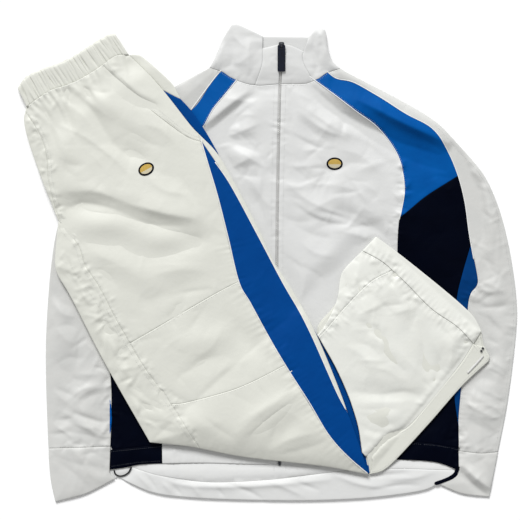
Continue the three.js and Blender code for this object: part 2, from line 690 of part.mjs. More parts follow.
// The under leg where it peeps out, and the lower legs turned under at the knee
const legEdgeCut = cutAlong(OUTER_EDGE, 2 * SEAM);
const underEdgeCut = cutAlong(UNDER_EDGE_LINE, 2 * SEAM);
const underSheet = slabBetween([underTop, -WALL], [underTop, 0]);
cutPieces(
  underSheet.intersect(prismOf(underOutline)).subtract(legPrism),
  [legEdgeCut, underEdgeCut],
  [["under_leg_stripe", 100, -190, "blue"]],
);
cutPieces(
  underSheet.intersect(prismOf(hipOutline)).subtract(legPrism),
  [legEdgeCut, cutAlong(HIP_STRIPE_SEAM)],
  [
    ["under_leg_hip", -190, 296, "trouser"],
    ["under_hip_stripe", -125, 214, "blue"],
  ],
);
const flapSheet = slabBetween([flapTop, -WALL], [flapTop, 0]);
const ankleSheet = slabBetween([flapTop, -WALL], [flapTop, HEM_EXTRA]);
const ankleBand = beyond([ANKLE_SEAM, [[345, -134], [200, 70]]]);
const flapLayer = flapSheet.add(ankleSheet.intersect(ankleBand)).intersect(prismOf(flapOutline));
cutPieces(
  flapLayer.subtract(legPrism).subtract(prismOf(underOutline)),
  [
    legEdgeCut,
    underEdgeCut,
    ...[ANKLE_SEAM, CALF_SEAM, PLACKET_FOLD].map((rows) => cutAlong(rows)),
  ],
  [
    ["lower_leg_front", 200, -130, "trouser"],
    ["lower_leg_back", 118, -30, "trouser"],
    ["ankle_hem", 230, -40, "trouser"],
    ["ankle_placket", 300, -164, "trouser"],
  ],
);

const ankleZipSheet = slabBetween([flapTop, SEAM], [flapTop, SEAM + WALL]);
addSolid("ankle_zip", ankleZipSheet.intersect(cutAlong(ANKLE_ZIP, ANKLE_ZIP_WIDTH)), "jacket");

// Waistband: elastic drawn up in gathers that run from its seam to its top edge
const bandLow = new THREE.SplineCurve(WAIST_SEAM.map(([x, y]) => corner([x - 2 * SEAM, y + 2 * SEAM])));
const bandHigh = new THREE.SplineCurve(WAIST_TOP.map(corner));
const bandPoints = [];
const bandFaces = [];
const bandColumns = GATHERS * GATHER_STEPS;
for (const thickness of [WALL, 0]) {
  for (let i = 0; i <= bandColumns; i += 1) {
    const wave = Math.cos((2 * Math.PI * i) / GATHER_STEPS);
    for (let j = 0; j <= GATHER_ROWS; j += 1) {
      const u = i / bandColumns;
      const p = bandLow.getPointAt(u).lerp(bandHigh.getPointAt(u), j / GATHER_ROWS);
      const sag = j === 1 ? GATHER_DEPTH / 3 : 0;
      const z = WAIST_BED + SEAM + WALL + (GATHER_DEPTH * (1 + wave)) / 2 + GATHER_DEPTH / 3 - sag;
      bandPoints.push(p.x, p.y, z - thickness);
    }
  }
}
const bandIndex = (side, i, j) => side * (bandColumns + 1) * (GATHER_ROWS + 1) + i * (GATHER_ROWS + 1) + j;
function bandQuad(a, b, c, d) {
  bandFaces.push(a, b, c, a, c, d);
}
for (let i = 0; i < bandColumns; i += 1) {
  for (let j = 0; j < GATHER_ROWS; j += 1) {
    bandQuad(bandIndex(1, i, j), bandIndex(1, i, j + 1), bandIndex(1, i + 1, j + 1), bandIndex(1, i + 1, j));
    bandQuad(bandIndex(0, i, j), bandIndex(0, i + 1, j), bandIndex(0, i + 1, j + 1), bandIndex(0, i, j + 1));
  }
  const j = GATHER_ROWS;
  bandQuad(bandIndex(0, i, 0), bandIndex(1, i, 0), bandIndex(1, i + 1, 0), bandIndex(0, i + 1, 0));
  bandQuad(bandIndex(0, i, j), bandIndex(0, i + 1, j), bandIndex(1, i + 1, j), bandIndex(1, i, j));
}
for (let j = 0; j < GATHER_ROWS; j += 1) {
  const i = bandColumns;
  bandQuad(bandIndex(0, 0, j), bandIndex(0, 0, j + 1), bandIndex(1, 0, j + 1), bandIndex(1, 0, j));
  bandQuad(bandIndex(0, i, j), bandIndex(1, i, j), bandIndex(1, i, j + 1), bandIndex(0, i, j + 1));
}
const bandGeometry = new THREE.BufferGeometry();
bandGeometry.setAttribute("position", new THREE.Float32BufferAttribute(bandPoints, 3));
bandGeometry.setIndex(bandFaces);
addMesh("waistband", bandGeometry, "trouser");

// The meshed height at a point
function heightAt(height, x, y) {
  const values = gridHeights(height);
  const i = Math.floor((x - GRID.x) / CELL);
  const j = Math.floor((y - GRID.y) / CELL);
  const u = (x - GRID.x) / CELL - i;
  const v = (y - GRID.y) / CELL - j;
  const corner = j * (GRID.columns + 1) + i;
  const [a, b] = values.slice(corner, corner + 2);
  const [d, c] = values.slice(corner + GRID.columns + 1, corner + GRID.columns + 3);
  if ((i + j) % 2 === 0) return u >= v ? a + u * (b - a) + v * (c - b) : a + v * (d - a) + u * (c - d);
  return u + v <= 1 ? a + u * (b - a) + v * (d - a) : c + (1 - u) * (d - c) + (1 - v) * (b - c);
}

// The highest that the jacket reaches below a rectangle
function highestBelow(x, y, width, length) {
  const spots = [-1, 0, 1].flatMap((i) => [-1, 0, 1].map((j) => [x + (i * width) / 2, y + (j * length) / 2]));
  return Math.max(...spots.map(([px, py]) => heightAt(hemTop, px, py)));
}

function roundedPlate(width, length, radius) {
  const shape = new THREE.Shape();
  const [x, y] = [width / 2, length / 2];
  shape.moveTo(-x + radius, -y);
  shape.lineTo(x - radius, -y);
  shape.quadraticCurveTo(x, -y, x, -y + radius);
  shape.lineTo(x, y - radius);
  shape.quadraticCurveTo(x, y, x - radius, y);
  shape.lineTo(-x + radius, y);
  shape.quadraticCurveTo(-x, y, -x, y - radius);
  shape.lineTo(-x, -y + radius);
  shape.quadraticCurveTo(-x, -y, -x + radius, -y);
  return shape;
}
const holeOf = (shape, y) => new THREE.Path(shape.getPoints(4).map((p) => corner([p.x, p.y + y])));

// Zip slider with the bridge that carries its pull
const sliderLow = highestBelow(SLIDER.x, SLIDER.y, SLIDER.width, SLIDER.length) + SEAM;
const sliderTop = sliderLow + SLIDER.thick;
const sliderPlate = new THREE.ExtrudeGeometry(roundedPlate(SLIDER.width, SLIDER.length, SLIDER.corner), {
  depth: SLIDER.thick,
  bevelEnabled: false,
  curveSegments: 4,
});
sliderPlate.translate(SLIDER.x, SLIDER.y, sliderLow);
const bridgeShape = roundedPlate(BRIDGE.length, 2 * BRIDGE.height, BRIDGE.corner);
const bridgeHole = [BRIDGE.length - 2 * BRIDGE.metal, 2 * (BRIDGE.height - BRIDGE.metal), BRIDGE.innerCorner];
bridgeShape.holes.push(holeOf(roundedPlate(...bridgeHole), 0));
const bridge = new THREE.ExtrudeGeometry(bridgeShape, {
  depth: BRIDGE.width,
  bevelEnabled: false,
  curveSegments: 4,
});
bridge.translate(0, 0, -BRIDGE.width / 2);
bridge.rotateY(Math.PI / 2);
bridge.rotateX(Math.PI / 2);
bridge.translate(SLIDER.x, SLIDER.y, sliderTop - SEAM);
const bridgeRoom = boxOf(
  SLIDER.x - SLIDER.length, SLIDER.y - SLIDER.length, SLIDER.x + SLIDER.length, SLIDER.y + SLIDER.length,
  sliderTop - SEAM, ABOVE_ALL,
);
addSolid("zip_slider", solidOf(sliderPlate).add(solidOf(bridge).intersect(bridgeRoom)), "metal");

// Pull tab: its head bar passes below the bridge, and its far end rests on the zip
const pivotHeight = sliderTop + (BRIDGE.height - BRIDGE.metal - SEAM) / 2;
const pullReach = PULL.length - PULL.bar;
const restHeight = highestBelow(SLIDER.x, SLIDER.y - pullReach, PULL.width, PULL.bar) + SEAM;
const pullSlope = Math.atan((pivotHeight - PULL.thick / 2 - restHeight) / pullReach);
const pullShape = roundedPlate(PULL.width, PULL.length, PULL.corner);
const windowAt = PULL.length / 2 - PULL.bar - PULL_WINDOW.length / 2;
const pullWindow = roundedPlate(PULL_WINDOW.width, PULL_WINDOW.length, PULL_WINDOW.corner);
pullShape.holes.push(holeOf(pullWindow, windowAt));
const pull = new THREE.ExtrudeGeometry(pullShape, {
  depth: PULL.thick,
  bevelEnabled: false,
  curveSegments: 4,
});
pull.translate(0, PULL.bar / 2 - PULL.length / 2, -PULL.thick / 2);
pull.rotateX(pullSlope);
pull.translate(SLIDER.x, SLIDER.y, pivotHeight);
addMesh("zip_pull", pull, "navy");

// Stop box at the zip's foot
const boxWidth = ZIP_GAP - 2 * SEAM;
const stopBox = new THREE.ExtrudeGeometry(roundedPlate(boxWidth, STOP_BOX.length, STOP_BOX.corner), {
  depth: STOP_BOX.thick,
  bevelEnabled: false,
  curveSegments: 3,
});
stopBox.translate(ZIP.at(-1)[0] - SEAM, ZIP_FOOT - SEAM - STOP_BOX.length / 2, BACK_TOP + SEAM);
addMesh("zip_box", stopBox, "metal");

// Elastic cord that leaves the hem and turns back into it
const cordHeight = BACK_TOP + SEAM + CORD_DIAMETER / 2;
const cordLine = new THREE.CatmullRomCurve3(CORD_ROUTE.map(([x, y]) => new THREE.Vector3(x, y, cordHeight)));
const cordSection = new THREE.Shape();
cordSection.absarc(0, 0, CORD_DIAMETER / 2, 0, 2 * Math.PI);
const cord = new THREE.ExtrudeGeometry(cordSection, {
  steps: 12,
  curveSegments: 4,
  bevelEnabled: false,
  extrudePath: cordLine,
});
addMesh("hem_cord", cord, "black");

// Embroidered badges: an oval field in a raised rim
function ovalAt({ x, y, turn }, rx, ry) {
  const curve = new THREE.EllipseCurve(x, y, rx, ry, 0, 2 * Math.PI, false, turn);
  return prismOf(curve.getPoints(20).slice(0, -1));
}
function addBadge(name, place, top) {
  const field = slabBetween([top, SEAM], [top, SEAM + BADGE.thick]);
  const raised = slabBetween([top, SEAM], [top, SEAM + BADGE.thick + BADGE.rimExtra]);
  const outer = ovalAt(place, BADGE.rx, BADGE.ry);
  const inner = ovalAt(place, BADGE.rx - BADGE.rim, BADGE.ry - BADGE.rim);
  const inmost = ovalAt(place, BADGE.rx - BADGE.rim - SEAM, BADGE.ry - BADGE.rim - SEAM);
  addSolid(name + "_rim", raised.intersect(outer).subtract(inner), "navy");
  addSolid(name + "_field", field.intersect(inmost), "gold");
}
addBadge("badge_chest", CHEST_BADGE, jacketTop);
addBadge("badge_thigh", THIGH_BADGE, legTop);

export default group;
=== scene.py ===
import math

import bmesh
import bpy
import numpy as np
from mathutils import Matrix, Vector
from mathutils.geometry import delaunay_2d_cdt


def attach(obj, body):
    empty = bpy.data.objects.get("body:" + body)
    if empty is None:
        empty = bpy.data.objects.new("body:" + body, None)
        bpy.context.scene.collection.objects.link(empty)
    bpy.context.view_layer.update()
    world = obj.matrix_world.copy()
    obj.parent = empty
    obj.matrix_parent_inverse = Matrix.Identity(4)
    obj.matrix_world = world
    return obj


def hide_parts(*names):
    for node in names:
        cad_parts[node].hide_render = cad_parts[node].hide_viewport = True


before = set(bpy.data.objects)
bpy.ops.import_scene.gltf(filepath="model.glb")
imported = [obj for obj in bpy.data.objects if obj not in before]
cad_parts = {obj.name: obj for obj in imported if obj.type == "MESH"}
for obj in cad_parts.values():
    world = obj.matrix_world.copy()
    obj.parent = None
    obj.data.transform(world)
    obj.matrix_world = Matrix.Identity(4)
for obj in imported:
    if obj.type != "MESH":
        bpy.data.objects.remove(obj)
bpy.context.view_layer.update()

# ---- View, floor and light
# The set lies on a pale table and is seen from straight above, in the soft light of a
# window at its collar end, with a white room round it.
VIEW_CENTRE = (-0.0256, 0.0039)
VIEW_WIDTH = 0.806
EYE_HEIGHT = 2.3
CLOTH_LEVEL = 0.005
SENSOR = 36.0
WINDOW_PLACE = (-0.7, 2.9, 2.3)
WINDOW_SPREAD = 24  # degrees
WINDOW_STRENGTH, ROOM_STRENGTH = 3.3, 0.44
TABLE_SIDE, TABLE_LEVEL = 9, -0.0003
camera = bpy.data.objects.new("camera", bpy.data.cameras.new("camera"))
camera.data.sensor_width = SENSOR
camera.data.lens = SENSOR * (EYE_HEIGHT - CLOTH_LEVEL) / VIEW_WIDTH
camera.data.clip_start = 0.01
camera.location = (*VIEW_CENTRE, EYE_HEIGHT)
bpy.context.scene.collection.objects.link(camera)
bpy.context.scene.camera = camera
bpy.context.scene.view_settings.view_transform = "Standard"

window = bpy.data.objects.new("window", bpy.data.lights.new("window", "SUN"))
window.data.energy = WINDOW_STRENGTH
window.data.angle = math.radians(WINDOW_SPREAD)
window.location = WINDOW_PLACE
window.rotation_euler = window.location.to_track_quat("Z", "Y").to_euler()
bpy.context.scene.collection.objects.link(window)
world = bpy.data.worlds.new("white room")
world.use_nodes = True
walls = world.node_tree.nodes["Background"]
walls.inputs["Color"].default_value = (1, 1, 1, 1)
walls.inputs["Strength"].default_value = ROOM_STRENGTH
bpy.context.scene.world = world


class Value:
    """A number in a material's nodes, which takes Python arithmetic."""

    def __init__(self, nodes, socket):
        self.nodes = nodes
        self.socket = socket

    def _maths(self, operation, *terms):
        return self.nodes.add("Math", {"operation": operation}, dict(enumerate(terms)))

    def __add__(self, other):
        return self._maths("ADD", self, other)

    def __sub__(self, other):
        return self._maths("SUBTRACT", self, other)

    def __rsub__(self, other):
        return self._maths("SUBTRACT", other, self)

    def __mul__(self, other):
        return self._maths("MULTIPLY", self, other)

    __radd__ = __add__
    __rmul__ = __mul__


class Nodes:
    """A material and its nodes."""

    def __init__(self, name):
        self.material = bpy.data.materials.new(name)
        self.material.use_nodes = True
        self.tree = self.material.node_tree
        self.shader = self.tree.nodes["Principled BSDF"]

    def add(self, kind, settings=None, sockets=None, output=0):
        """A node of that kind with its settings and sockets, as one of its outputs."""
        node = self.tree.nodes.new("ShaderNode" + kind)
        for key, value in (settings or {}).items():
            setattr(node, key, value)
        for key, value in (sockets or {}).items():
            self.feed(node.inputs[key], value)
        return Value(self, node.outputs[output])

    def feed(self, socket, value):
        """Links a value to a socket, or sets the socket to it."""
        if isinstance(value, Value):
            self.tree.links.new(value.socket, socket)
        else:
            socket.default_value = value

    def place(self):
        """Where a point lies on the object."""
        return self.add("TexCoord", output=3)

    def between(self, share, low, high):
        """A colour between two others."""
        return self.add("Mix", {"data_type": "RGBA"}, {0: share, 6: (*low, 1), 7: (*high, 1)}, 2)

    def bump(self, strength, distance, height, **sockets):
        """The normal of a surface that is raised by a height."""
        return self.add("Bump", {}, {"Strength": strength, "Distance": distance, "Height": height, **sockets})

    def finish(self, specular=None, **sockets):
        """The material, with its values and links in the shader."""
        if specular is not None:
            self.shader.inputs["Specular IOR Level"].default_value = specular
        for key, value in sockets.items():
            self.feed(self.shader.inputs[key.replace("_", " ")], value)
        return self.material


floor_paint = Nodes("floor_paint")
floor_grain = floor_paint.add("TexNoise", {}, {"Scale": 900.0, "Detail": 2.0})
floor_material = floor_paint.finish(
    Base_Color=(0.97, 0.97, 0.97, 1), Roughness=0.9, Normal=floor_paint.bump(0.02, 0.0002, floor_grain))
bpy.ops.mesh.primitive_plane_add(size=TABLE_SIDE, location=(0, 0, TABLE_LEVEL))
floor = bpy.context.object
floor.name = "floor"
floor.data.materials.append(floor_material)

# ---- Hem cord
# Black elastic cord, 2.4 mm, that leaves the left end of the hem band as a short loop and goes
# back into it. It lies on the jacket's back.
CORD_ROUTE = [
    (-0.2520, -0.3224, 0.0027), (-0.2505, -0.3275, 0.0027), (-0.2445, -0.3312, 0.0027),
    (-0.2360, -0.3300, 0.0027), (-0.2290, -0.3250, 0.0027), (-0.2255, -0.3174, 0.0027),
]
CORD_DIAMETER = 0.0024
CORD_POINTS = 24


def rounded_route(route, count):
    """The route as one smooth line of that many points."""
    p = [Vector(r) for r in route]
    p = [2 * p[0] - p[1], *p, 2 * p[-1] - p[-2]]
    line = []
    for a, b, c, d in zip(p, p[1:], p[2:], p[3:]):
        knots = [0.0]
        for one, two in ((a, b), (b, c), (c, d)):
            knots.append(knots[-1] + math.sqrt((two - one).length))
        for t in np.linspace(knots[1], knots[2], 20, endpoint=False):
            ab = a.lerp(b, t / knots[1])
            bc = b.lerp(c, (t - knots[1]) / (knots[2] - knots[1]))
            cd = c.lerp(d, (t - knots[2]) / (knots[3] - knots[2]))
            abc = ab.lerp(bc, t / knots[2])
            bcd = bc.lerp(cd, (t - knots[1]) / (knots[3] - knots[1]))
            line.append(abc.lerp(bcd, (t - knots[1]) / (knots[2] - knots[1])))
    line = np.array([*line, p[-2]])
    run = np.concatenate([[0], np.cumsum(np.linalg.norm(np.diff(line, axis=0), axis=1))])
    at = np.linspace(0, run[-1], count)
    return np.stack([np.interp(at, run, line[:, k]) for k in range(3)], axis=1)


def new_piece(name, points, faces, material, slot):
    """A smooth mesh piece, in metres, that rides on the set's one body of cloth."""
    mesh = bpy.data.meshes.new(name)
    mesh.from_pydata([tuple(map(float, p)) for p in points], [], [tuple(map(int, f)) for f in faces])
    mesh.materials.append(material)
    mesh.shade_smooth()
    mesh.update()
    piece = bpy.data.objects.new(name, mesh)
    bpy.context.scene.collection.objects.link(piece)
    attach(piece, "suit")
    return piece


def tube(name, line, radius, material, slot, sides=10):
    """A round cord along a line, closed at both ends."""
    line = np.asarray(line, float)
    points, faces = [], []
    count = len(line)
    for i, spot in enumerate(line):
        run = Vector(line[min(i + 1, count - 1)] - line[max(i - 1, 0)]).normalized()
        side = run.cross(Vector((0, 0, 1))).normalized()
        up = side.cross(run)
        for k in range(sides):
            turn = 2 * math.pi * k / sides
            points.append(Vector(spot) + radius * (math.cos(turn) * side + math.sin(turn) * up))
    for i in range(count - 1):
        for k in range(sides):
            a, b = i * sides + k, i * sides + (k + 1) % sides
            faces.append((a, b, b + sides, a + sides))
    faces.append(tuple(range(sides))[::-1])
    faces.append(tuple((count - 1) * sides + k for k in range(sides)))
    return new_piece(name, points, faces, material, slot)


elastic = Nodes("black_elastic")
elastic_plait = elastic.add("TexWave", {"wave_type": "BANDS", "bands_direction": "DIAGONAL"},
                            {"Vector": elastic.place(), "Scale": 420.0, "Distortion": 0.6})
black_elastic = elastic.finish(
    Base_Color=(0.006, 0.0065, 0.008, 1), Roughness=0.62, Normal=elastic.bump(0.5, 0.0002, elastic_plait))
cord_line = rounded_route(CORD_ROUTE, CORD_POINTS)
hem_loop = tube("hem_elastic", cord_line, CORD_DIAMETER / 2, black_elastic, "black_elastic")
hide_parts("hem_cord")

# ---- Jacket back
# The back, the backs of both sleeves, the tail's facing and the inside of the collar are cut
# from white taffeta. They lie flat on the table below all the rest.
MM = 0.001
BACK_WALL = 1.2
ROLL = [(0.0, 0.6), (0.7, 0.17), (1.6, 0.03)]  # in from an edge: how far the cloth rolls down
ROLL_END = 2.6
SEAM_CLOSED = 0.15  # each panel is this much larger than its solid, so that seams close
OUTLINE_SLACK = 0.04
ROW_RISE = 0.866  # from one row of even triangles to the next, for a side of 1
STRIP = 0.010  # a narrower strip is sewn down along both sides, so cloth() works out no area share for it
LEAST_SHARE = 0.301  # the least of its rectangle that a sheet's area may be
THINNEST = 0.12  # the least of its wall that a rolled edge keeps
CLOTH_STEP = 2.5
EDGE_STEP = 2.4
BACK_STEP = 5.0
TAIL_EDGE = [(-266, -322), (-240, -319), (-205, -313), (-120, -311), (-50, -313), (8, -312), (100, -310),
             (187, -306), (240, -309), (262, -314), (290, -326)]
TAIL_LIFT = 3.0
CORD_PRESS, CORD_REACH = 0.9, 9
# Folds. Columns: rise in mm (below 0 is a trough), half width, then the line's points.
TAIL_FOLDS = [
    (-1.5, 4.0, [(-225, -317), (-200, -322), (-180, -330), (-160, -336), (-100, -340), (-50, -338),
                 (0, -335), (40, -332), (60, -328), (100, -322), (150, -318)]),
    (1.6, 5.0, [(-190, -326), (-150, -344), (-100, -348), (-40, -347), (30, -342), (80, -337)]),
    (1.0, 4.0, [(-214, -330), (-196, -350)]),
    (-1.1, 3.0, [(-205, -326), (-186, -352)]),
    (1.1, 3.5, [(-178, -340), (-164, -356)]),
    (-1.0, 2.6, [(-160, -346), (-148, -360)]),
    (0.9, 3.0, [(-130, -348), (-118, -362)]),
    (-0.9, 2.6, [(-92, -350), (-82, -362)]),
    (-1.2, 3.4, [(-72, -344), (-40, -356), (-24, -366)]),
    (1.0, 4.0, [(-10, -340), (20, -352), (40, -362)]),
    (-1.0, 3.0, [(30, -340), (64, -352)]),
    (1.2, 4.5, [(90, -330), (130, -344), (170, -350)]),
    (-1.3, 4.0, [(110, -326), (150, -330), (200, -326)]),
    (1.0, 4.5, [(180, -336), (214, -334), (240, -326)]),
    (-1.0, 3.4, [(150, -352), (190, -345), (220, -345)]),
]


def spline(rows, step=6.0):
    """A smooth line through the rows, as points at even steps."""
    p = np.array(rows, float)
    q = np.vstack([p[:1], p, p[-1:]])
    t = np.linspace(0, 1, 10, endpoint=False)[:, None]
    run = [0.5 * (2 * b + (c - a) * t + (2 * a - 5 * b + 4 * c - d) * t**2 + (3 * b - a - 3 * c + d) * t**3)
           for a, b, c, d in zip(q, q[1:], q[2:], q[3:])]
    return evenly(np.vstack([*run, p[-1:]]), step)


def evenly(line, step):
    """The line again, as points at even steps."""
    run = np.concatenate([[0], np.cumsum(np.linalg.norm(np.diff(line, axis=0), axis=1))])
    at = np.linspace(0, run[-1], max(2, int(round(run[-1] / step)) + 1))
    return np.stack([np.interp(at, run, line[:, k]) for k in range(2)], axis=1)


# The set's height maps: a grid of points, in mm, from its lower left corner
MAP_STEP = 1.75
MAP_LOW = np.array([-414.0, -384.0])
MAP_COUNT = (457, 439)
map_x, map_y = np.meshgrid(*(low + MAP_STEP * np.arange(count) for low, count in zip(MAP_LOW, MAP_COUNT)))


def nearest(line, x=map_x, y=map_y):
    """How far each point is from a line, and how far along the line its nearest spot lies."""
    best = np.full(x.shape, 1e9)
    along = np.zeros(x.shape)
    run = 0.0
    for (ax, ay), (bx, by) in zip(line, line[1:]):
        dx, dy = bx - ax, by - ay
        length = math.hypot(dx, dy)
        if length < 1e-6:
            continue
        t = np.clip(((x - ax) * dx + (y - ay) * dy) / length**2, 0, 1)
        off = np.hypot(x - ax - t * dx, y - ay - t * dy)
        closer = off < best
        best[closer] = off[closer]
        along[closer] = run + t[closer] * length
        run += length
    return best, along


def inside(ring, x, y):
    """Which points lie inside an outline."""
    found = np.zeros(x.shape, bool)
    for (ax, ay), (bx, by) in zip(ring, np.roll(ring, -1, axis=0)):
        if ay != by:
            found ^= ((ay > y) != (by > y)) & (x < ax + (y - ay) * (bx - ax) / (by - ay))
    return found


def folds_of(table, gain=1.0, power=2.0, tilt=0.0):
    """The height map of a table of folds: soft, or crisp with a lower power and steep on their
    lower side with a tilt."""
    heights = np.zeros_like(map_x)
    for rise, half, points in table:
        line = spline(points, 8.0) if len(points) > 2 else np.array(points, float)
        low = ((line.min(0) - 3 * half - MAP_LOW) / MAP_STEP).astype(int).clip(0)
        high = ((line.max(0) + 3 * half - MAP_LOW) / MAP_STEP).astype(int) + 2
        part = (slice(low[1], high[1]), slice(low[0], high[0]))
        if heights[part].size == 0:
            continue
        off, along = nearest(line, map_x[part], map_y[part])
        run = np.concatenate([[0], np.cumsum(np.linalg.norm(np.diff(line, axis=0), axis=1))])
        taper = 0.35 + 0.65 * np.sin(math.pi * along / max(run[-1], 1e-6))
        above = (map_y[part] - np.interp(along, run, line[:, 1])) / np.maximum(off, 0.5)
        width = half * (1 + 0.25 * tilt + tilt * above * np.sign(rise))
        heights[part] += gain * rise * taper * np.exp(-((off / width) ** power))
    return heights


def at(heights, x, y):
    """A height map's value between its points."""
    u = np.clip((np.asarray(x, float) - MAP_LOW[0]) / MAP_STEP, 0, MAP_COUNT[0] - 1.001)
    v = np.clip((np.asarray(y, float) - MAP_LOW[1]) / MAP_STEP, 0, MAP_COUNT[1] - 1.001)
    i, j = u.astype(int), v.astype(int)
    u, v = u - i, v - j
    return ((1 - u) * (1 - v) * heights[j, i] + u * (1 - v) * heights[j, i + 1]
            + (1 - u) * v * heights[j + 1, i] + u * v * heights[j + 1, i + 1])


def upper_outline(node):
    """The outline of a CAD node's upper face, in mm, as its corners and bends."""
    bm = bmesh.new()
    bm.from_mesh(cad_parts[node].data)
    bmesh.ops.remove_doubles(bm, verts=bm.verts, dist=2e-6)
    bm.normal_update()
    step = {}
    for edge in bm.edges:
        up = [loop for loop in edge.link_loops if loop.face.normal.z > 0.3]
        if len(up) == 1:
            step[up[0].vert] = up[0].link_loop_next.vert
    rings = []
    while step:
        start, spot = next(iter(step.items()))
        ring = [start]
        del step[start]
        while spot in step:
            ring.append(spot)
            spot = step.pop(spot)
        rings.append(np.array([(v.co.x, v.co.y) for v in ring]) / MM)
    bm.free()
    return without_slits(max(rings, key=area_of))


def without_slits(ring):
    """The outline without the narrow slits that a seam's end leaves in its neighbour."""
    k = 0
    while k < len(ring):
        spots = np.roll(ring, -k, axis=0)
        ahead = spots[2:min(9, len(spots) - 3)]
        shut = np.flatnonzero(np.linalg.norm(ahead - spots[0], axis=1) < 0.5)
        if len(shut):
            ring = np.vstack([spots[:1], spots[3 + int(shut[-1]):]])
            k = 0
        else:
            k += 1
    return ring


def area_of(ring):
    """The area that an outline holds."""
    x, y = ring[:, 0], ring[:, 1]
    return abs(float((x * np.roll(y, -1) - np.roll(x, -1) * y).sum())) / 2


def thinned(line, tolerance):
    """The line without the points that it can do without."""
    if len(line) < 3:
        return line
    run = line[-1] - line[0]
    length = max(np.hypot(*run), 1e-9)
    off = abs((line[1:-1, 0] - line[0, 0]) * run[1] - (line[1:-1, 1] - line[0, 1]) * run[0]) / length
    far = int(off.argmax()) + 1
    if off[far - 1] < tolerance:
        return line[[0, -1]]
    return np.vstack([thinned(line[: far + 1], tolerance)[:-1], thinned(line[far:], tolerance)])


def smooth_ring(ring, step, corner=24.0):
    """The outline with its bends rounded between its corners, at even steps."""
    far = int(np.linalg.norm(ring - ring[0], axis=1).argmax())
    halves = ring[: far + 1], np.vstack([ring[far:], ring[:1]])
    ring = np.vstack([thinned(half, OUTLINE_SLACK)[:-1] for half in halves])
    before, after = ring - np.roll(ring, 1, axis=0), np.roll(ring, -1, axis=0) - ring
    cross = before[:, 0] * after[:, 1] - before[:, 1] * after[:, 0]
    turn = np.degrees(np.arctan2(cross, (before * after).sum(1)))
    corners = [int(i) for i in np.flatnonzero(abs(turn) > corner)] or [0]
    ring = np.roll(ring, -corners[0], axis=0)
    corners = [c - corners[0] for c in corners] + [len(ring)]
    ring = np.vstack([ring, ring[:1]])
    made = []
    for a, b in zip(corners, corners[1:]):
        run = ring[a: b + 1]
        if len(run) > 2:
            run = rounded_route(np.column_stack([run, np.zeros(len(run))]), max(3, 8 * len(run)))[:, :2]
        made.append(evenly(run, step)[:-1])
    return np.vstack(made)


def moved_in(ring, distance):
    """The outline moved inwards."""
    run = np.roll(ring, -1, axis=0) - np.roll(ring, 1, axis=0)
    run /= np.maximum(np.linalg.norm(run, axis=1, keepdims=True), 1e-9)
    x, y = ring[:, 0], ring[:, 1]
    sense = np.sign((x * np.roll(y, -1) - np.roll(x, -1) * y).sum())
    return ring + sense * distance * np.column_stack([-run[:, 1], run[:, 0]])


def cut_size(ring):
    """(width, length) in metres of the smallest rectangle that the outline fits in."""
    best = None
    for turn in np.radians(np.arange(0, 90, 1.5)):
        x = ring[:, 0] * math.cos(turn) + ring[:, 1] * math.sin(turn)
        y = ring[:, 1] * math.cos(turn) - ring[:, 0] * math.sin(turn)
        sides = sorted((float(np.ptp(x)), float(np.ptp(y))))
        if best is None or sides[0] * sides[1] < best[0] * best[1]:
            best = sides
    return best[0] * MM, best[1] * MM


def flat_mesh(ring, step):
    """Points over an outline, the triangles between them, and each point's roll at the edge."""
    spots = [ring]
    rolls = [np.full(len(ring), ROLL[0][1])]
    for distance, drop in ROLL[1:]:
        line = moved_in(ring, distance)
        keep = inside(ring, line[:, 0], line[:, 1])
        for shift in range(-9, 10):  # a point that a bend brings too near the outline is left out
            keep &= np.linalg.norm(line - np.roll(ring, shift, axis=0), axis=1) > 0.93 * distance
        spots.append(line[keep])
        rolls.append(np.full(int(keep.sum()), drop))
    low, high = ring.min(0), ring.max(0)
    rise = step * ROW_RISE
    x, y = np.meshgrid(np.arange(low[0], high[0] + step, step), np.arange(low[1], high[1] + rise, rise))
    x = x + (np.arange(len(y)) % 2)[:, None] * step / 2
    keep = inside(ring, x, y)
    reach = ROLL[-1][0] + 0.4 * step
    for (ax, ay), (bx, by) in zip(ring, np.roll(ring, -1, axis=0)):
        rows = slice(max(0, int((min(ay, by) - reach - low[1]) / rise)),
                     int((max(ay, by) + reach - low[1]) / rise) + 2)
        columns = slice(max(0, int((min(ax, bx) - reach - low[0]) / step - 0.5)),
                        int((max(ax, bx) + reach - low[0]) / step) + 2)
        part = (rows, columns)
        keep[part] &= nearest([(ax, ay), (bx, by)], x[part], y[part])[0] > reach
    spots.append(np.column_stack([x[keep], y[keep]]))
    rolls.append(np.zeros(int(keep.sum())))
    points = np.vstack(spots)
    edges = [(i, (i + 1) % len(ring)) for i in range(len(ring))]
    made = delaunay_2d_cdt([Vector(p) for p in points], edges, [], 1, 1e-4)
    if len(made[0]) != len(points):
        points = np.array([tuple(v) for v in made[0]])
        off = nearest(np.vstack([ring, ring[:1]]), points[:, 0], points[:, 1])[0]
        rolls = [np.interp(off, *zip(*ROLL, (ROLL_END, 0)))]
    faces = np.array(made[2])
    a, b, c = (points[faces[:, k]] for k in range(3))
    turned = (b[:, 0] - a[:, 0]) * (c[:, 1] - a[:, 1]) - (b[:, 1] - a[:, 1]) * (c[:, 0] - a[:, 0]) < 0
    faces[turned] = faces[turned][:, ::-1]
    return points, faces, np.concatenate(rolls)


def shell(points, faces, high, under):
    """The upper and lower face of thin cloth and the rim that closes them, in metres."""
    count = len(points)
    sides = dict.fromkeys(zip(faces.ravel().tolist(), np.roll(faces, -1, axis=1).ravel().tolist()))
    rim = [(b, a, a + count, b + count) for a, b in sides if (b, a) not in sides]
    spots = np.vstack([np.column_stack([points, high]), np.column_stack([points, under])]) * MM
    return spots, [*faces, *(faces[:, ::-1] + count), *rim]


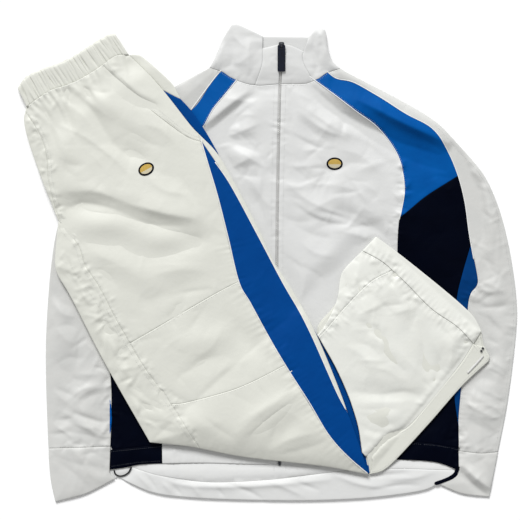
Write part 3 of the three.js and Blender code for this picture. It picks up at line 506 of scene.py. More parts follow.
def cloth(name, ring, top, wall, material, slot, node=None, step=CLOTH_STEP, low=None,
          rolled=1.0):
    """A piece of cloth over an outline, between height maps in mm. It may stand for a CAD node."""
    ring = moved_in(smooth_ring(ring, min(step, EDGE_STEP)), -SEAM_CLOSED)
    points, faces, roll = flat_mesh(ring, step)
    high = at(top, *points.T) - rolled * roll
    under = high + rolled * roll - wall if low is None else at(low, *points.T)
    under = np.minimum(under, high - THINNEST * wall)
    piece = new_piece(name, *shell(points, faces, high, under), material, slot)
    if node:
        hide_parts(node)
    width, length = cut_size(ring)
    if width >= STRIP:
        share = float(np.clip(area_of(ring) * MM * MM / (width * length), LEAST_SHARE, 1))
        share * width * length


def taffeta(name, colour, shade, roughness=0.42, specular=0.3):
    """Plain-woven polyester: fine crossed threads, small crumples, a soft gloss."""
    n = Nodes(name)
    place = n.place()
    cloudy = n.add("TexNoise", {}, {"Vector": place, "Scale": 38.0, "Detail": 5.0, "Roughness": 0.55})
    dents = n.add("TexNoise", {}, {"Vector": place, "Scale": 95.0, "Detail": 3.0, "Roughness": 0.5,
                                   "Distortion": 0.9})
    warp = n.add("TexWave", {"bands_direction": "X"}, {"Vector": place, "Scale": 620.0})
    weft = n.add("TexWave", {"bands_direction": "Y"}, {"Vector": place, "Scale": 620.0})
    crumpled = n.bump(0.5, 0.0011, cloudy + dents * 0.35)
    woven = n.bump(0.16, 0.00006, warp + weft, Normal=crumpled)
    return n.finish(specular, Base_Color=n.between(cloudy * 1.6 - 0.3, shade, colour),
                    Roughness=roughness + dents * 0.1, Normal=woven)


jacket_taffeta = taffeta("jacket_taffeta", (0.67, 0.675, 0.665), (0.645, 0.65, 0.645))
# Beyond the hem the tail rises off the table, less where the cord lies on it.
tail_line = spline(TAIL_EDGE)
tail_off = nearest(tail_line)[0]
beyond_hem = map_y < np.interp(map_x, tail_line[:, 0], tail_line[:, 1])
cord_off = nearest(cord_line[:, :2] / MM)[0]
tail_lift = TAIL_LIFT * (1 - CORD_PRESS * np.exp(-((cord_off / CORD_REACH) ** 2)))
tail_top = BACK_WALL + np.where(beyond_hem, tail_lift * (1 - np.exp(-np.maximum(tail_off - 2, 0) / 6)), 0.0)
tail_folds = folds_of(TAIL_FOLDS, gain=1.7, power=1.25, tilt=0.35)
tail_folds *= np.clip((tail_off - 1) / 6, 0, 1)
tail_top = np.maximum(BACK_WALL, tail_top + np.where(beyond_hem, tail_folds, 0))
flat_top = np.full_like(map_x, BACK_WALL)
# Columns: node, piece, height map, mesh step
for node, piece, top, step in [
    ("jacket_back", "back_panel", tail_top, BACK_STEP),
    ("jacket_back_hem", "tail_facing", tail_top, CLOTH_STEP),
    ("sleeve_back_right", "back_sleeve_right", flat_top, BACK_STEP),
    ("sleeve_back_left", "back_sleeve_left", flat_top, BACK_STEP),
    ("collar_back", "inside_collar", flat_top, BACK_STEP),
]:
    cloth(piece, upper_outline(node), top, BACK_WALL, jacket_taffeta, "jacket_cloth", node, step,
          low=np.zeros_like(map_x))

# ---- Jacket fronts, sleeves and collar
# Both fronts, the collar and the sleeves are white taffeta, the raglan bands blue, the side
# panels and the ends of the hem navy. They are sewn edge to edge, and the set's own weight
# presses them flat below the folded trousers.
FRONT_LOW = 2.7
JACKET_LOFT, JACKET_SOFT = 4.5, 34
HEM_EXTRA = 0.9
FRONT_WALL = 1.1
PRESSED = 34  # the trousers press the jacket flat this far beside them
JACKET_SINK = 0.4  # the deepest crease below the cloth's low level
JACKET_CRUMPLES = [(170, 1.5, 11, 90), (560, 0.8, 4.5, 46)]
FOLD_FADE = 10  # the distance from an edge over which folds reach their height
TABLE_TOP = -0.3
JACKET_RIM = (34, 68)  # so far off the jacket what hangs over its edge comes down to the table
COLLAR_LEFT = [(-104, 302), (-95, 318), (-85, 342), (-77, 357), (-66, 370), (-40, 360), (-21, 351)]
COLLAR_BACK = [(-21, 351), (50, 350)]
COLLAR_RIGHT = [(50, 350), (60, 361), (70, 363), (76, 359), (80, 332), (87, 312), (100, 300)]
SLEEVE_RIGHT = [(100, 300), (150, 274), (200, 247), (250, 216), (285, 178), (320, 138), (341, 95),
                (356, 45), (368, -20), (373, -80), (368, -135), (360, -205), (351, -255), (341, -310),
                (330, -363)]
CUFF_RIGHT = [(330, -363), (305, -361), (280, -356), (250, -343)]
TAIL = [(250, -343), (232, -352), (200, -358), (140, -365), (50, -369), (-50, -368), (-140, -364),
        (-190, -357), (-225, -343), (-246, -333)]
CUFF_LEFT = [(-246, -333), (-265, -343), (-300, -360), (-343, -371)]
SLEEVE_LEFT = [(-343, -371), (-351, -330), (-355, -260), (-358, -150), (-355, -70), (-349, 0), (-337, 65),
               (-310, 130), (-262, 205), (-200, 247), (-160, 272), (-104, 302)]
NECK = [(-114, 306), (-87, 297), (-65, 284), (-33, 275), (3, 277), (40, 277), (63, 284), (80, 295),
        (108, 304)]
THROAT = [(-26, 331), (-10, 335), (5, 339), (20, 337), (46, 326)]
ARM_RIGHT = [(76, 299), (92, 286), (120, 279), (160, 256), (200, 230), (240, 208), (264, 176), (281, 137),
             (292, 95), (299, 45), (306, 5), (312, -32), (299, -55), (294, -120), (286, -200), (282, -255),
             (283, -318), (276, -330), (262, -338), (244, -349)]
ARM_LEFT = [(-84, 301), (-100, 281), (-133, 236), (-190, 222), (-240, 195), (-266, 168), (-281, 137),
            (-291, 80), (-286, 0), (-270, -100), (-258, -172), (-256, -230), (-259, -318), (-257, -329),
            (-249, -337), (-238, -348)]
SIDE_RIGHT = [(51, 289), (80, 267), (120, 236), (155, 211), (180, 181), (193, 152), (198, 110), (190, 66),
              (188, 30), (187, -60), (187, -200), (187, -322)]
RAGLAN_TOP_LEFT = [(-86, 298), (-100, 281), (-133, 236)]
RAGLAN_LOW_LEFT = [(-62, 283), (-80, 260), (-98, 238), (-112, 212)]
HEM_SEAM = [(-259, -291), (-178, -283), (-90, -286), (0, -287), (100, -284), (187, -278), (245, -281),
            (283, -288)]
CUFF_SEAM_LEFT = [(-356, -289), (-300, -287), (-258, -285)]
CUFF_SEAM_RIGHT = [(345, -294), (320, -296), (283, -293)]
ZIP = [(9, 352), (6, 293), (4, 220), (2, 130), (1, 40), (1, -100), (4, -250), (5, -322)]
# The trousers' outline on the jacket
SEAT_EDGE = [(-387, 241), (-391, 222), (-386, 195), (-368, 142), (-352, 100), (-337, 64)]
INSEAM_EDGE = [(-337, 64), (-341, 25), (-341, -12), (-320, -50), (-295, -100), (-263, -160), (-228, -220),
               (-196, -278)]
FOLD_EDGE = [(-196, -278), (-130, -285), (-60, -299), (0, -307), (80, -316), (143, -328)]
OUTER_EDGE = [(143, -328), (133, -298), (112, -240), (100, -205), (80, -155), (63, -115), (45, -80),
              (20, -35), (-2, -3), (-22, 40), (-43, 80), (-66, 122), (-92, 169), (-127, 205), (-160, 247),
              (-190, 283), (-229, 322)]
WAIST_SEAM = [(-229, 322), (-250, 319), (-276, 300), (-312, 279), (-345, 268), (-366, 256), (-387, 241)]
WAIST_TOP = [(-250, 354), (-265, 350), (-282, 340), (-320, 316), (-360, 300), (-385, 289), (-401, 270)]
ANKLE_EDGE = [(154, 40), (188, 15), (240, -28), (280, -60), (305, -84), (318, -108)]
PLACKET_EDGE = [(318, -108), (322, -130), (330, -148), (320, -161), (298, -180), (270, -210), (240, -245),
                (215, -272), (188, -302), (165, -322), (143, -328)]
FLAP_HIDDEN = [(143, -328), (100, -300), (-20, -170), (20, -100), (60, -114), (92, -62), (100, -20),
               (115, 0), (154, 40)]
HIDDEN_LEGS = np.array([(-196, -278), (143, -328), (318, -108), (154, 40)], float)
# The jacket's main folds. Columns: rise, half width, points.
JACKET_FOLDS = [
    (-3.2, 15, [(-40, 258), (-104, 204)]),
    (2.6, 16, [(-20, 250), (-70, 214)]),
    (-2.6, 14, [(-92, 196), (-34, 176)]),
    (3.4, 15, [(-70, 168), (-28, 166)]),
    (-2.8, 15, [(50, 275), (108, 226)]),
    (-2.6, 14, [(100, 226), (168, 192)]),
    (2.2, 16, [(60, 232), (120, 200)]),
    (-2.2, 16, [(140, 236), (282, 158)]),
    (2.0, 16, [(120, 262), (230, 200)]),
    (2.4, 18, [(80, 110), (175, 62)]),
    (-2.2, 16, [(90, 84), (160, 40)]),
    (-2.0, 18, [(-50, 120), (-60, 60)]),
    (2.2, 18, [(60, 20), (120, -30)]),
    (-3.4, 14, [(318, 132), (318, 30)]),
    (3.0, 16, [(336, 80), (346, -40)]),
    (-3.0, 16, [(330, -60), (324, -170)]),
    (2.4, 16, [(350, -120), (340, -230)]),
    (2.6, 16, [(306, -200), (322, -280)]),
    (2.4, 15, [(-338, -20), (-334, -120)]),
    (-3.0, 16, [(-312, -130), (-326, -240)]),
    (2.4, 15, [(-300, -210), (-290, -270)]),
]
# Its smaller creases, which the solids leave out. Same columns.
JACKET_CREASES = [
    (15.0, 17, [(128, 250), (162, 232), (206, 210), (264, 186)]),
    (-7.0, 13, [(150, 206), (184, 184), (224, 168), (282, 146)]),
    (-1.6, 5, [(172, 180), (220, 163), (274, 147)]),
    (-5.0, 8, [(258, 212), (280, 170), (297, 124), (306, 60)]),
    (4.0, 9, [(282, 202), (308, 152), (325, 100), (334, 40)]),
    (-2.6, 6, [(334, 120), (346, 70), (350, 10)]),
    (4.5, 7, [(72, 350), (76, 336), (82, 312)]),
    (-3.0, 5, [(60, 352), (58, 330), (64, 306)]),
    (3.6, 7, [(-84, 338), (-92, 318), (-90, 304)]),
    (7.0, 10, [(-46, 264), (-80, 238), (-112, 212)]),
    (-4.0, 8, [(-46, 238), (-78, 212), (-106, 190)]),
    (3.4, 8, [(-30, 214), (-52, 204), (-76, 196)]),
    (6.4, 9, [(66, 280), (104, 248), (136, 228), (160, 210)]),
    (-4.0, 7, [(60, 252), (96, 226), (130, 208), (160, 188)]),
    (2.8, 7, [(44, 226), (76, 204), (104, 196)]),
    (-2.2, 6, [(30, 196), (64, 178), (90, 176)]),
    (2.6, 9, [(20, 118), (56, 92), (100, 74)]),
    (-2.4, 7, [(30, 88), (66, 66), (110, 58)]),
    (2.4, 8, [(100, 48), (134, 40), (170, 18)]),
    (6.5, 8, [(290, -316), (310, -334), (335, -354)]),
    (-2.6, 4, [(281, -322), (300, -341), (326, -362)]),
    (3.0, 7, [(-322, -214), (-304, -198), (-276, -190)]),
    (-2.6, 6, [(-316, -232), (-296, -240), (-268, -248)]),
    (2.8, 7, [(-312, -250), (-290, -258), (-266, -272)]),
    (2.6, 9, [(-345, -60), (-330, -80), (-312, -84)]),
    (2.8, 7, [(308, -36), (330, -46), (352, -42)]),
    (-2.4, 6, [(304, -62), (326, -70), (350, -66)]),
    (2.6, 8, [(300, -140), (322, -160), (350, -172)]),
    (2.4, 7, [(298, -222), (320, -232), (344, -244)]),
    (-1.6, 6, [(-72, 356), (-66, 330), (-72, 300)]),
    (1.6, 9, [(-44, 348), (-42, 320), (-46, 290)]),
    (-2.4, 13, [(-44, 254), (-76, 226), (-106, 198)]),
    (-2.0, 12, [(-100, 204), (-74, 194), (-50, 186)]),
    (-2.0, 9, [(-64, 152), (-50, 146), (-34, 152)]),
    (-2.4, 12, [(62, 262), (104, 232), (154, 210)]),
    (2.2, 12, [(48, 238), (88, 210), (124, 196)]),
    (-1.8, 10, [(36, 222), (64, 196), (84, 186)]),
    (-1.8, 12, [(120, 190), (150, 176), (176, 150)]),
    (2.0, 12, [(96, 176), (130, 166), (160, 140)]),
    (-1.6, 10, [(20, 150), (48, 128), (60, 104)]),
    (1.8, 12, [(60, 120), (110, 116), (150, 92)]),
    (-2.0, 12, [(84, 84), (124, 74), (160, 48)]),
    (-1.8, 11, [(24, 60), (54, 44), (90, 36)]),
    (1.8, 11, [(28, 96), (52, 78), (92, 62)]),
    (-1.6, 10, [(-40, 112), (-28, 92), (-16, 60)]),
    (1.6, 10, [(-60, 136), (-40, 126), (-20, 96)]),
    (-1.4, 9, [(16, 268), (26, 236), (20, 210)]),
    (1.4, 10, [(30, 262), (40, 240), (44, 216)]),
    (-2.4, 9, [(306, 130), (308, 90), (306, 40)]),
    (2.6, 9, [(334, 110), (342, 60), (348, 10)]),
    (-2.2, 9, [(320, 20), (332, -10), (352, -24)]),
    (2.2, 10, [(310, -30), (332, -34), (356, -50)]),
    (-2.2, 10, [(312, -84), (330, -90), (352, -110)]),
    (2.0, 11, [(306, -120), (324, -150), (350, -160)]),
    (-2.2, 11, [(296, -150), (316, -176), (342, -186)]),
    (2.0, 11, [(296, -200), (316, -212), (344, -226)]),
    (-1.8, 10, [(292, -240), (312, -252), (336, -262)]),
    (-2.0, 11, [(-350, -40), (-336, -60), (-318, -70)]),
    (1.8, 11, [(-346, -90), (-330, -116), (-306, -128)]),
    (-2.0, 10, [(-344, -150), (-324, -176), (-296, -184)]),
    (-1.8, 9, [(-340, -240), (-316, -250), (-286, -268)]),
    (-2.0, 10, [(-338, -310), (-310, -330), (-290, -352)]),
    (-1.6, 5, [(-36, 262), (-60, 243), (-84, 216), (-104, 202)]),
    (1.2, 5, [(-28, 254), (-52, 238), (-72, 218)]),
    (-1.3, 5, [(-92, 200), (-62, 202), (-42, 186), (-28, 172)]),
    (-1.0, 6, [(-74, 160), (-68, 148), (-60, 130)]),
    (-1.5, 6, [(48, 277), (65, 262), (85, 240), (110, 228), (130, 215), (160, 195)]),
    (1.1, 6, [(70, 256), (94, 234), (120, 219)]),
    (-0.9, 5, [(40, 236), (62, 222), (92, 200)]),
    (0.8, 5, [(24, 204), (48, 190), (70, 190)]),
    (-0.8, 6, [(110, 130), (120, 112), (128, 96)]),
    (0.9, 6, [(126, 126), (150, 112), (160, 98)]),
    (-1.0, 5, [(104, 66), (140, 56), (176, 34)]),
    (-0.9, 5, [(60, 52), (90, 60), (128, 54)]),
    (1.0, 5, [(40, 30), (60, 14), (84, 10)]),
    (-1.0, 5, [(30, -2), (56, -14), (80, -32)]),
    (-0.8, 4, [(14, 8), (30, 0), (40, -14)]),
    (-1.2, 4, [(-82, 346), (-74, 335), (-70, 318), (-66, 300), (-64, 285)]),
    (0.9, 6, [(-60, 350), (-54, 330), (-50, 300)]),
    (-1.2, 4, [(76, 350), (68, 335), (66, 320), (63, 300), (58, 290)]),
    (-0.8, 8, [(34, 318), (48, 312), (58, 318)]),
    (-1.4, 4, [(319, 135), (316, 110), (316, 80), (318, 50), (320, 30)]),
    (1.2, 6, [(328, 130), (330, 90), (330, 50)]),
    (-1.2, 5, [(344, 60), (338, 20), (336, -20), (330, -50)]),
    (-1.1, 5, [(296, -52), (306, -66), (330, -52), (350, -40), (364, -36)]),
    (1.0, 6, [(318, -80), (330, -110), (322, -150)]),
    (-0.9, 6, [(300, -190), (320, -204), (346, -206)]),
    (0.9, 6, [(296, -230), (318, -240), (340, -236)]),
    (-1.5, 4, [(281, -320), (300, -338), (328, -360)]),
    (1.3, 6, [(290, -318), (310, -336), (330, -350)]),
    (1.2, 5, [(-330, -280), (-306, -300), (-286, -330), (-270, -340)]),
    (-1.0, 6, [(-344, -300), (-310, -312), (-272, -318)]),
    (1.4, 4, [(-318, -222), (-300, -204), (-282, -196), (-262, -194)]),
    (-1.1, 4, [(-312, -232), (-296, -238), (-280, -246), (-262, -246)]),
    (-1.0, 4, [(-300, -216), (-288, -206), (-272, -204)]),
    (1.1, 4, [(-296, -256), (-276, -258), (-260, -270)]),
    (-1.0, 4, [(-320, -262), (-290, -268), (-264, -276)]),
    (0.9, 5, [(-346, -200), (-330, -214), (-318, -224)]),
    (-0.8, 5, [(-344, -160), (-330, -150), (-316, -146)]),
    (-0.8, 5, [(-340, -100), (-326, -96), (-308, -102)]),
    (-1.1, 5, [(140, 240), (180, 214), (230, 190), (280, 160)]),
    (0.9, 6, [(150, 250), (196, 226), (240, 196)]),
    (-0.9, 5, [(232, 128), (252, 134), (276, 128)]),
]


def ring_of(*edges):
    """One outline from edges that run end to end."""
    return np.vstack([spline(rows, 10.0)[:-1] for rows in edges])


def depth_into(ring):
    """How far inside an outline each point of the map lies, below 0 outside."""
    off = nearest(np.vstack([ring, ring[:1]]))[0]
    return np.where(inside(ring, map_x, map_y), off, -off)


def eased(distance, softness):
    """From 0 at a distance of 0 to 1 far off."""
    return 1 - np.exp(-np.maximum(distance, 0) / softness)


def smoothstep(value, low, high):
    """From 0 at low to 1 at high, level at both."""
    t = np.clip((value - low) / (high - low), 0, 1)
    return t * t * (3 - 2 * t)


def pucker(line, height, pitch, reach, draws):
    """Small ripples that a seam's thread draws up across it, uneven in size and spacing."""
    line = spline(line)
    off, along = nearest(line)
    length = np.linalg.norm(np.diff(line, axis=0), axis=1).sum()
    marks = np.cumsum(draws.uniform(0.6, 1.5, int(length / pitch) + 3)) * pitch
    marks = marks * (length + pitch) / marks[-1]
    size = draws.uniform(0.2, 1.0, len(marks))
    far = draws.uniform(0.5, 1.5, len(marks)) * reach
    wave = np.cos(2 * math.pi * np.interp(along, marks, np.arange(len(marks))))
    ends = np.clip(np.minimum(along, length - along) / 12, 0, 1)
    wave *= height * ends * np.interp(along, marks, size)
    return wave * np.exp(-((off / np.interp(along, marks, far)) ** 1.6))


def crumples(table, draws):
    """Many small creases scattered over the map, as soft cloth keeps them. Columns of the table:
    count, rise, half width, length."""
    rows = []
    for count, rise, half, length in table:
        for _ in range(count):
            x, y = draws.uniform(-400, 375), draws.uniform(-370, 365)
            turn = draws.uniform(0, math.pi)
            reach = draws.uniform(0.4, 1.0) * length / 2
            dx, dy = reach * math.cos(turn), reach * math.sin(turn)
            bow = draws.uniform(-0.35, 0.35)
            rows.append((draws.uniform(-1, 1) * rise, draws.uniform(0.6, 1.4) * half,
                         [(x - dx, y - dy), (x - bow * dy, y + bow * dx), (x + dx, y + dy)]))
    return folds_of(rows, power=1.2)


def creased_along(line, count, rise, half, length, spread, draws):
    """Short creases at all angles beside a line, as its thread leaves them."""
    line = spline(line)
    rows = []
    for _ in range(count):
        x, y = line[draws.integers(len(line))] + draws.normal(0, spread, 2)
        turn = draws.uniform(0, math.pi)
        dx, dy = length / 2 * math.cos(turn), length / 2 * math.sin(turn)
        rows.append((draws.uniform(-1, 1) * rise, draws.uniform(0.7, 1.4) * half,
                     [(x - dx, y - dy), (x + dx, y + dy)]))
    return folds_of(rows, power=1.3)


def seam_work(seams, lines, draws):
    """What thread does to the cloth beside it, from two tables: ripples that cross a seam (height,
    pitch, reach) and creases beside a line (count, rise, half width, length, spread)."""
    heights = np.zeros_like(map_x)
    for seam, *sizes in seams:
        heights += pucker(seam, *sizes, draws)
    for line, *sizes in lines:
        heights += creased_along(line, *sizes, draws)
    return heights


# The outlines of the whole jacket, the leg on top, the trousers and the turned leg
jacket_ring = ring_of(COLLAR_LEFT, COLLAR_BACK, COLLAR_RIGHT, SLEEVE_RIGHT, CUFF_RIGHT, TAIL, CUFF_LEFT,
                      SLEEVE_LEFT)
leg_ring = ring_of(SEAT_EDGE, INSEAM_EDGE, FOLD_EDGE, OUTER_EDGE, WAIST_SEAM)
trouser_ring = ring_of(SEAT_EDGE, INSEAM_EDGE, FOLD_EDGE, OUTER_EDGE, [(-229, 322), (-240, 341), (-250, 354)],
                       WAIST_TOP, [(-401, 270), (-399, 257), (-387, 241)])
flap_ring = ring_of(ANKLE_EDGE, PLACKET_EDGE, FLAP_HIDDEN)
# How free the jacket's cloth is to rise: from 0 below the trousers to 1 far from them
trouser_depth = depth_into(trouser_ring)
legs_depth = depth_into(HIDDEN_LEGS)
freedom = smoothstep(-np.maximum(np.maximum(trouser_depth, legs_depth), depth_into(flap_ring)), 0, PRESSED)
# The cloth rises softly between its seams and edges, and the folds lie on that form.
jacket_depth = depth_into(jacket_ring)
valley = jacket_depth
for rows in (ARM_RIGHT, ARM_LEFT, TAIL_EDGE, THROAT, NECK):
    valley = np.minimum(valley, nearest(spline(rows, 10.0))[0])
jacket_form = JACKET_LOFT * eased(valley, JACKET_SOFT)
jacket_form += folds_of(JACKET_FOLDS) * eased(valley, FOLD_FADE)
jacket_base = FRONT_LOW + np.maximum(0, jacket_form) * freedom
off_jacket = FRONT_LOW + (TABLE_TOP - FRONT_LOW) * smoothstep(-jacket_depth, *JACKET_RIM)
jacket_base = np.where(jacket_depth < 0, off_jacket, jacket_base)
draws = np.random.default_rng(11)
jacket_fine = folds_of(JACKET_CREASES, power=1.25, tilt=0.4) + crumples(JACKET_CRUMPLES, draws)
jacket_fine += seam_work([
    (ZIP, 0.25, 9.0, 9),
    (SIDE_RIGHT[5:9], 0.7, 6.5, 10),
    (ARM_RIGHT[11:17], 0.6, 6.5, 11),
    (ARM_LEFT[9:13], 0.6, 6.5, 11),
    (CUFF_SEAM_LEFT, 0.5, 8.0, 9),
    (HEM_SEAM, 0.4, 9.0, 8),
    (TAIL_EDGE, 0.4, 9.0, 7),
    (NECK, 0.3, 8.0, 8),
    (SLEEVE_RIGHT[5:14], 0.4, 12.0, 9),
], [
    (ZIP, 130, 1.2, 2.2, 13, 8),
    (NECK, 40, 1.2, 2.6, 15, 8),
    (ARM_LEFT[9:13], 60, 1.7, 2.4, 15, 9),
    (ARM_RIGHT[11:17], 80, 1.7, 2.4, 15, 9),
    (SIDE_RIGHT[5:9], 50, 1.7, 2.4, 13, 7),
    (SLEEVE_RIGHT[3:13], 70, 1.5, 2.8, 18, 8),
    (HEM_SEAM, 70, 1.2, 2.4, 13, 6),
    (CUFF_SEAM_LEFT, 26, 1.4, 2.4, 13, 6),
    (CUFF_SEAM_RIGHT, 18, 1.4, 2.4, 13, 6),
    ([(-310, -150), (-300, -270)], 26, 1.8, 4.0, 32, 18),
    ([(322, 60), (330, -270)], 46, 1.4, 4.0, 34, 16),
    ([(60, 250), (110, 60)], 40, 1.8, 5.0, 40, 30),
    ([(-50, 250), (-50, 120)], 22, 1.8, 5.0, 36, 20),
    ([(-330, -300), (-270, -310)], 14, 1.0, 3.5, 22, 14),
    ([(330, -300), (292, -330)], 12, 1.0, 3.5, 22, 12),
    ([(-60, 350), (-50, 300)], 12, 1.0, 4.0, 26, 10),
    ([(66, 350), (60, 300)], 12, 1.1, 4.0, 26, 8),
], draws)
loose = np.clip(freedom * 5, 0, 1)
jacket_top = jacket_base + jacket_fine * loose * eased(jacket_depth, 3)
jacket_top = np.maximum(jacket_top, FRONT_LOW - JACKET_SINK * loose)
# Hems and collar are double cloth, so they stand higher, but little beside their seams.
hem_off = np.minimum.reduce([nearest(spline(rows, 10.0))[0]
                             for rows in (HEM_SEAM, CUFF_SEAM_LEFT, CUFF_SEAM_RIGHT, NECK)])
hem_top = jacket_top + HEM_EXTRA * freedom * (0.2 + 0.8 * eased(hem_off, 2.5))
raglan_blue = taffeta("raglan_blue", (0.0004, 0.088, 0.345), (0.0003, 0.070, 0.29),
                      roughness=0.5, specular=0.04)
sleeve_taffeta = taffeta("sleeve_taffeta", (0.605, 0.605, 0.585), (0.565, 0.57, 0.555))
# The under-sleeve wedges are the raglan's blue cloth made darker: painted shade for the hollow below the
# sleeve's edge.
shaded_wedge_blue = taffeta("shaded_wedge_blue", (0.0003, 0.042, 0.18), (0.0003, 0.030, 0.13),
                     roughness=0.5, specular=0.04)
side_navy = taffeta("side_navy", (0.0003, 0.0012, 0.0060), (0.0002, 0.0008, 0.0040),
                    roughness=0.55, specular=0.03)
# Columns: node, piece, height map, material, slot, for the left one and the right one
for node, piece, top, material, slot in [
    ("front", "front_panel", jacket_top, jacket_taffeta, "jacket_cloth"),
    ("raglan_band", "raglan", jacket_top, raglan_blue, "blue_cloth"),
    ("side_panel", "side_gore", jacket_top, side_navy, "navy_cloth"),
    ("sleeve_front", "sleeve", jacket_top, sleeve_taffeta, "jacket_cloth"),
    ("under_sleeve", "sleeve_wedge", jacket_top, shaded_wedge_blue, "blue_cloth"),
    ("cuff", "cuff_band", hem_top, sleeve_taffeta, "jacket_cloth"),
    ("hem_white", "hem_band", hem_top, jacket_taffeta, "jacket_cloth"),
    ("hem_navy", "hem_end", hem_top, side_navy, "navy_cloth"),
    ("collar_side", "collar_fold", hem_top, jacket_taffeta, "jacket_cloth"),
    ("collar_front", "collar_stand", hem_top, jacket_taffeta, "jacket_cloth"),
]:
    for side in ("left", "right"):
        if f"{node}_{side}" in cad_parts:  # the left under sleeve strip is hidden
            cloth(f"{piece}_{side}", upper_outline(f"{node}_{side}"), top, FRONT_WALL, material, slot,
                  f"{node}_{side}")

# ---- Folded trousers: hidden layers
# The trousers are folded in half lengthwise and their lower legs turned under at the knee, so
# four layers of cloth show at the edges below the leg that lies on top.
LEG_EDGE, LEG_LOFT, LEG_SOFT = 7.4, 9.0, 30
FLAP_EDGE, FLAP_LOFT, FLAP_SOFT = 4.6, 6.5, 24
FLAP_UNDER_LEG = 5.5
UNDER_EDGE = 3.4
SEAM_GAP = 0.3
LEG_FOLDS = [
    (-3.2, 15, [(-318, 256), (-255, 186)]),
    (-2.6, 15, [(-255, 186), (-190, 155)]),
    (-2.6, 14, [(-350, 236), (-310, 200)]),
    (2.4, 15, [(-290, 262), (-240, 226)]),
    (2.6, 16, [(-340, 214), (-322, 128)]),
    (-4.2, 17, [(-336, 90), (-262, 92)]),
    (-3.6, 17, [(-262, 92), (-140, 55)]),
    (4.2, 18, [(-312, 60), (-220, 58)]),
    (2.6, 17, [(-220, 40), (-120, 26)]),
    (-2.4, 15, [(-180, 16), (-96, 40)]),
    (2.2, 18, [(-260, 10), (-180, -40)]),
    (2.0, 17, [(-150, 110), (-104, 20)]),
    (-2.0, 15, [(-200, -60), (-120, -28)]),
    (2.4, 18, [(-160, -130), (-70, -110)]),
    (-2.2, 15, [(-70, -90), (-30, -140)]),
    (3.2, 16, [(36, -204), (-20, -246)]),
    (2.6, 16, [(-20, -246), (-70, -276)]),
    (-2.6, 15, [(30, -240), (-10, -290)]),
    (2.2, 16, [(-150, -232), (-90, -262)]),
]
FLAP_FOLDS = [
    (-3.0, 16, [(222, -88), (242, -184)]),
    (2.8, 16, [(196, -168), (150, -104)]),
    (-3.0, 15, [(112, -196), (236, -208)]),
    (2.4, 15, [(140, -240), (210, -236)]),
    (2.4, 15, [(170, -40), (120, -96)]),
    (2.2, 14, [(262, -110), (286, -140)]),
]
# The trousers lie on the jacket's form, and each part's low edge has the height of its layers.
bed = jacket_base + SEAM_GAP
leg_base = bed + LEG_EDGE + np.maximum(
    0, LEG_LOFT * eased(trouser_depth, LEG_SOFT) + FLAP_UNDER_LEG * eased(legs_depth, FLAP_SOFT)
    + folds_of(LEG_FOLDS) * eased(trouser_depth, FOLD_FADE))
flap_base = bed + FLAP_EDGE + np.maximum(
    0, FLAP_LOFT * eased(legs_depth, FLAP_SOFT) + folds_of(FLAP_FOLDS) * eased(legs_depth, FOLD_FADE))
under_base = bed + UNDER_EDGE
trouser_taffeta = taffeta("trouser_taffeta", (0.675, 0.68, 0.62), (0.65, 0.655, 0.60))
UNDER_EDGE_LINE = [(56, -100), (82, -145), (100, -180), (116, -220), (128, -262), (133, -296), (147, -301),
                   (148, -318), (143, -328)]
HIP_EDGE_LINE = [(-229, 322), (-212, 321), (-186, 300), (-163, 278), (-154, 263), (-147, 251), (-132, 235),
                 (-115, 210), (-106, 197), (-96, 180), (-90, 168)]
under_ring = ring_of(UNDER_EDGE_LINE, [(143, -328), (100, -280), (30, -90), (56, -100)])
turned_ring = ring_of(ANKLE_EDGE, PLACKET_EDGE,
                      [(143, -328), (137, -296), (132, -262), (120, -220), (104, -180)],
                      [(104, -180), (86, -145), (62, -104), (92, -62), (100, -20), (115, 0), (154, 40)])
hip_ring = ring_of(HIP_EDGE_LINE, [(-90, 168), (-110, 165), (-170, 210), (-240, 300), (-229, 322)])
TOP_WALL = 1.1
LAYER_WALL = 1.0
LAYER_STEP = 7.0
LAYER_GAP = 0.12
LAYER_BACK, LAYER_RAGGED = 0.5, 0.9  # how far the layers' edges lie behind the outline
LAYER_ROLLED = 0.45
# Columns: name, outline, height map above, layers
for name, ring, base, layers in [
    ("folded_leg", leg_ring, leg_base, 4),
    ("turned_leg", turned_ring, flap_base, 3),
    ("under_leg", under_ring, under_base, 1),
    ("under_hip", hip_ring, under_base, 1),
]:
    room = base - TOP_WALL - SEAM_GAP - bed
    for k in range(layers):
        ragged = moved_in(ring, LAYER_BACK + LAYER_RAGGED * ((k * 2 + 1) % 3))
        lid = bed + room * (k + 1) / layers - LAYER_GAP
        cloth(f"{name}_layer_{k + 1}", ragged, lid, LAYER_WALL, trouser_taffeta, "trouser_cloth",
              "hidden_layers", LAYER_STEP, bed + room * k / layers, LAYER_ROLLED)

# ---- Folded trousers: the leg on top
# White taffeta panels with a blue stripe down the side, joined at the knee, with a slanted hip
# pocket. The elastic waist draws the cloth up into long hollows.
RISE_SEAM = [(-396, 243), (-370, 205), (-356, 170), (-353, 130), (-347, 105), (-336, 62)]
INSEAM = [(-342, 70), (-322, 45), (-305, 25), (-295, -5), (-275, -35), (-245, -92), (-207, -157),
          (-165, -215), (-116, -292)]
INSEAM_STITCH = [(-320, 0), (-305, -25), (-290, -45), (-270, -75), (-258, -95), (-245, -110), (-232, -130)]
POCKET_MOUTH = [(-272, 308), (-250, 287), (-230, 266), (-205, 244), (-180, 226), (-140, 195), (-114, 186)]
STRIPE_FRONT = [(-124, 210), (-117, 190), (-105, 150), (-91, 103), (-75, 40), (-58, -30), (-40, -63),
                (-10, -118), (18, -165), (50, -215), (80, -265), (110, -299), (148, -332)]
STRIPE_BACK = [(-125, 201), (-95, 155), (-70, 118), (-28, 40), (10, -32), (35, -75), (55, -115), (78, -167),
               (97, -209), (119, -248)]
KNEE_TOP = [(-52, -26), (-80, -40), (-120, -63), (-175, -95), (-212, -117), (-240, -132)]
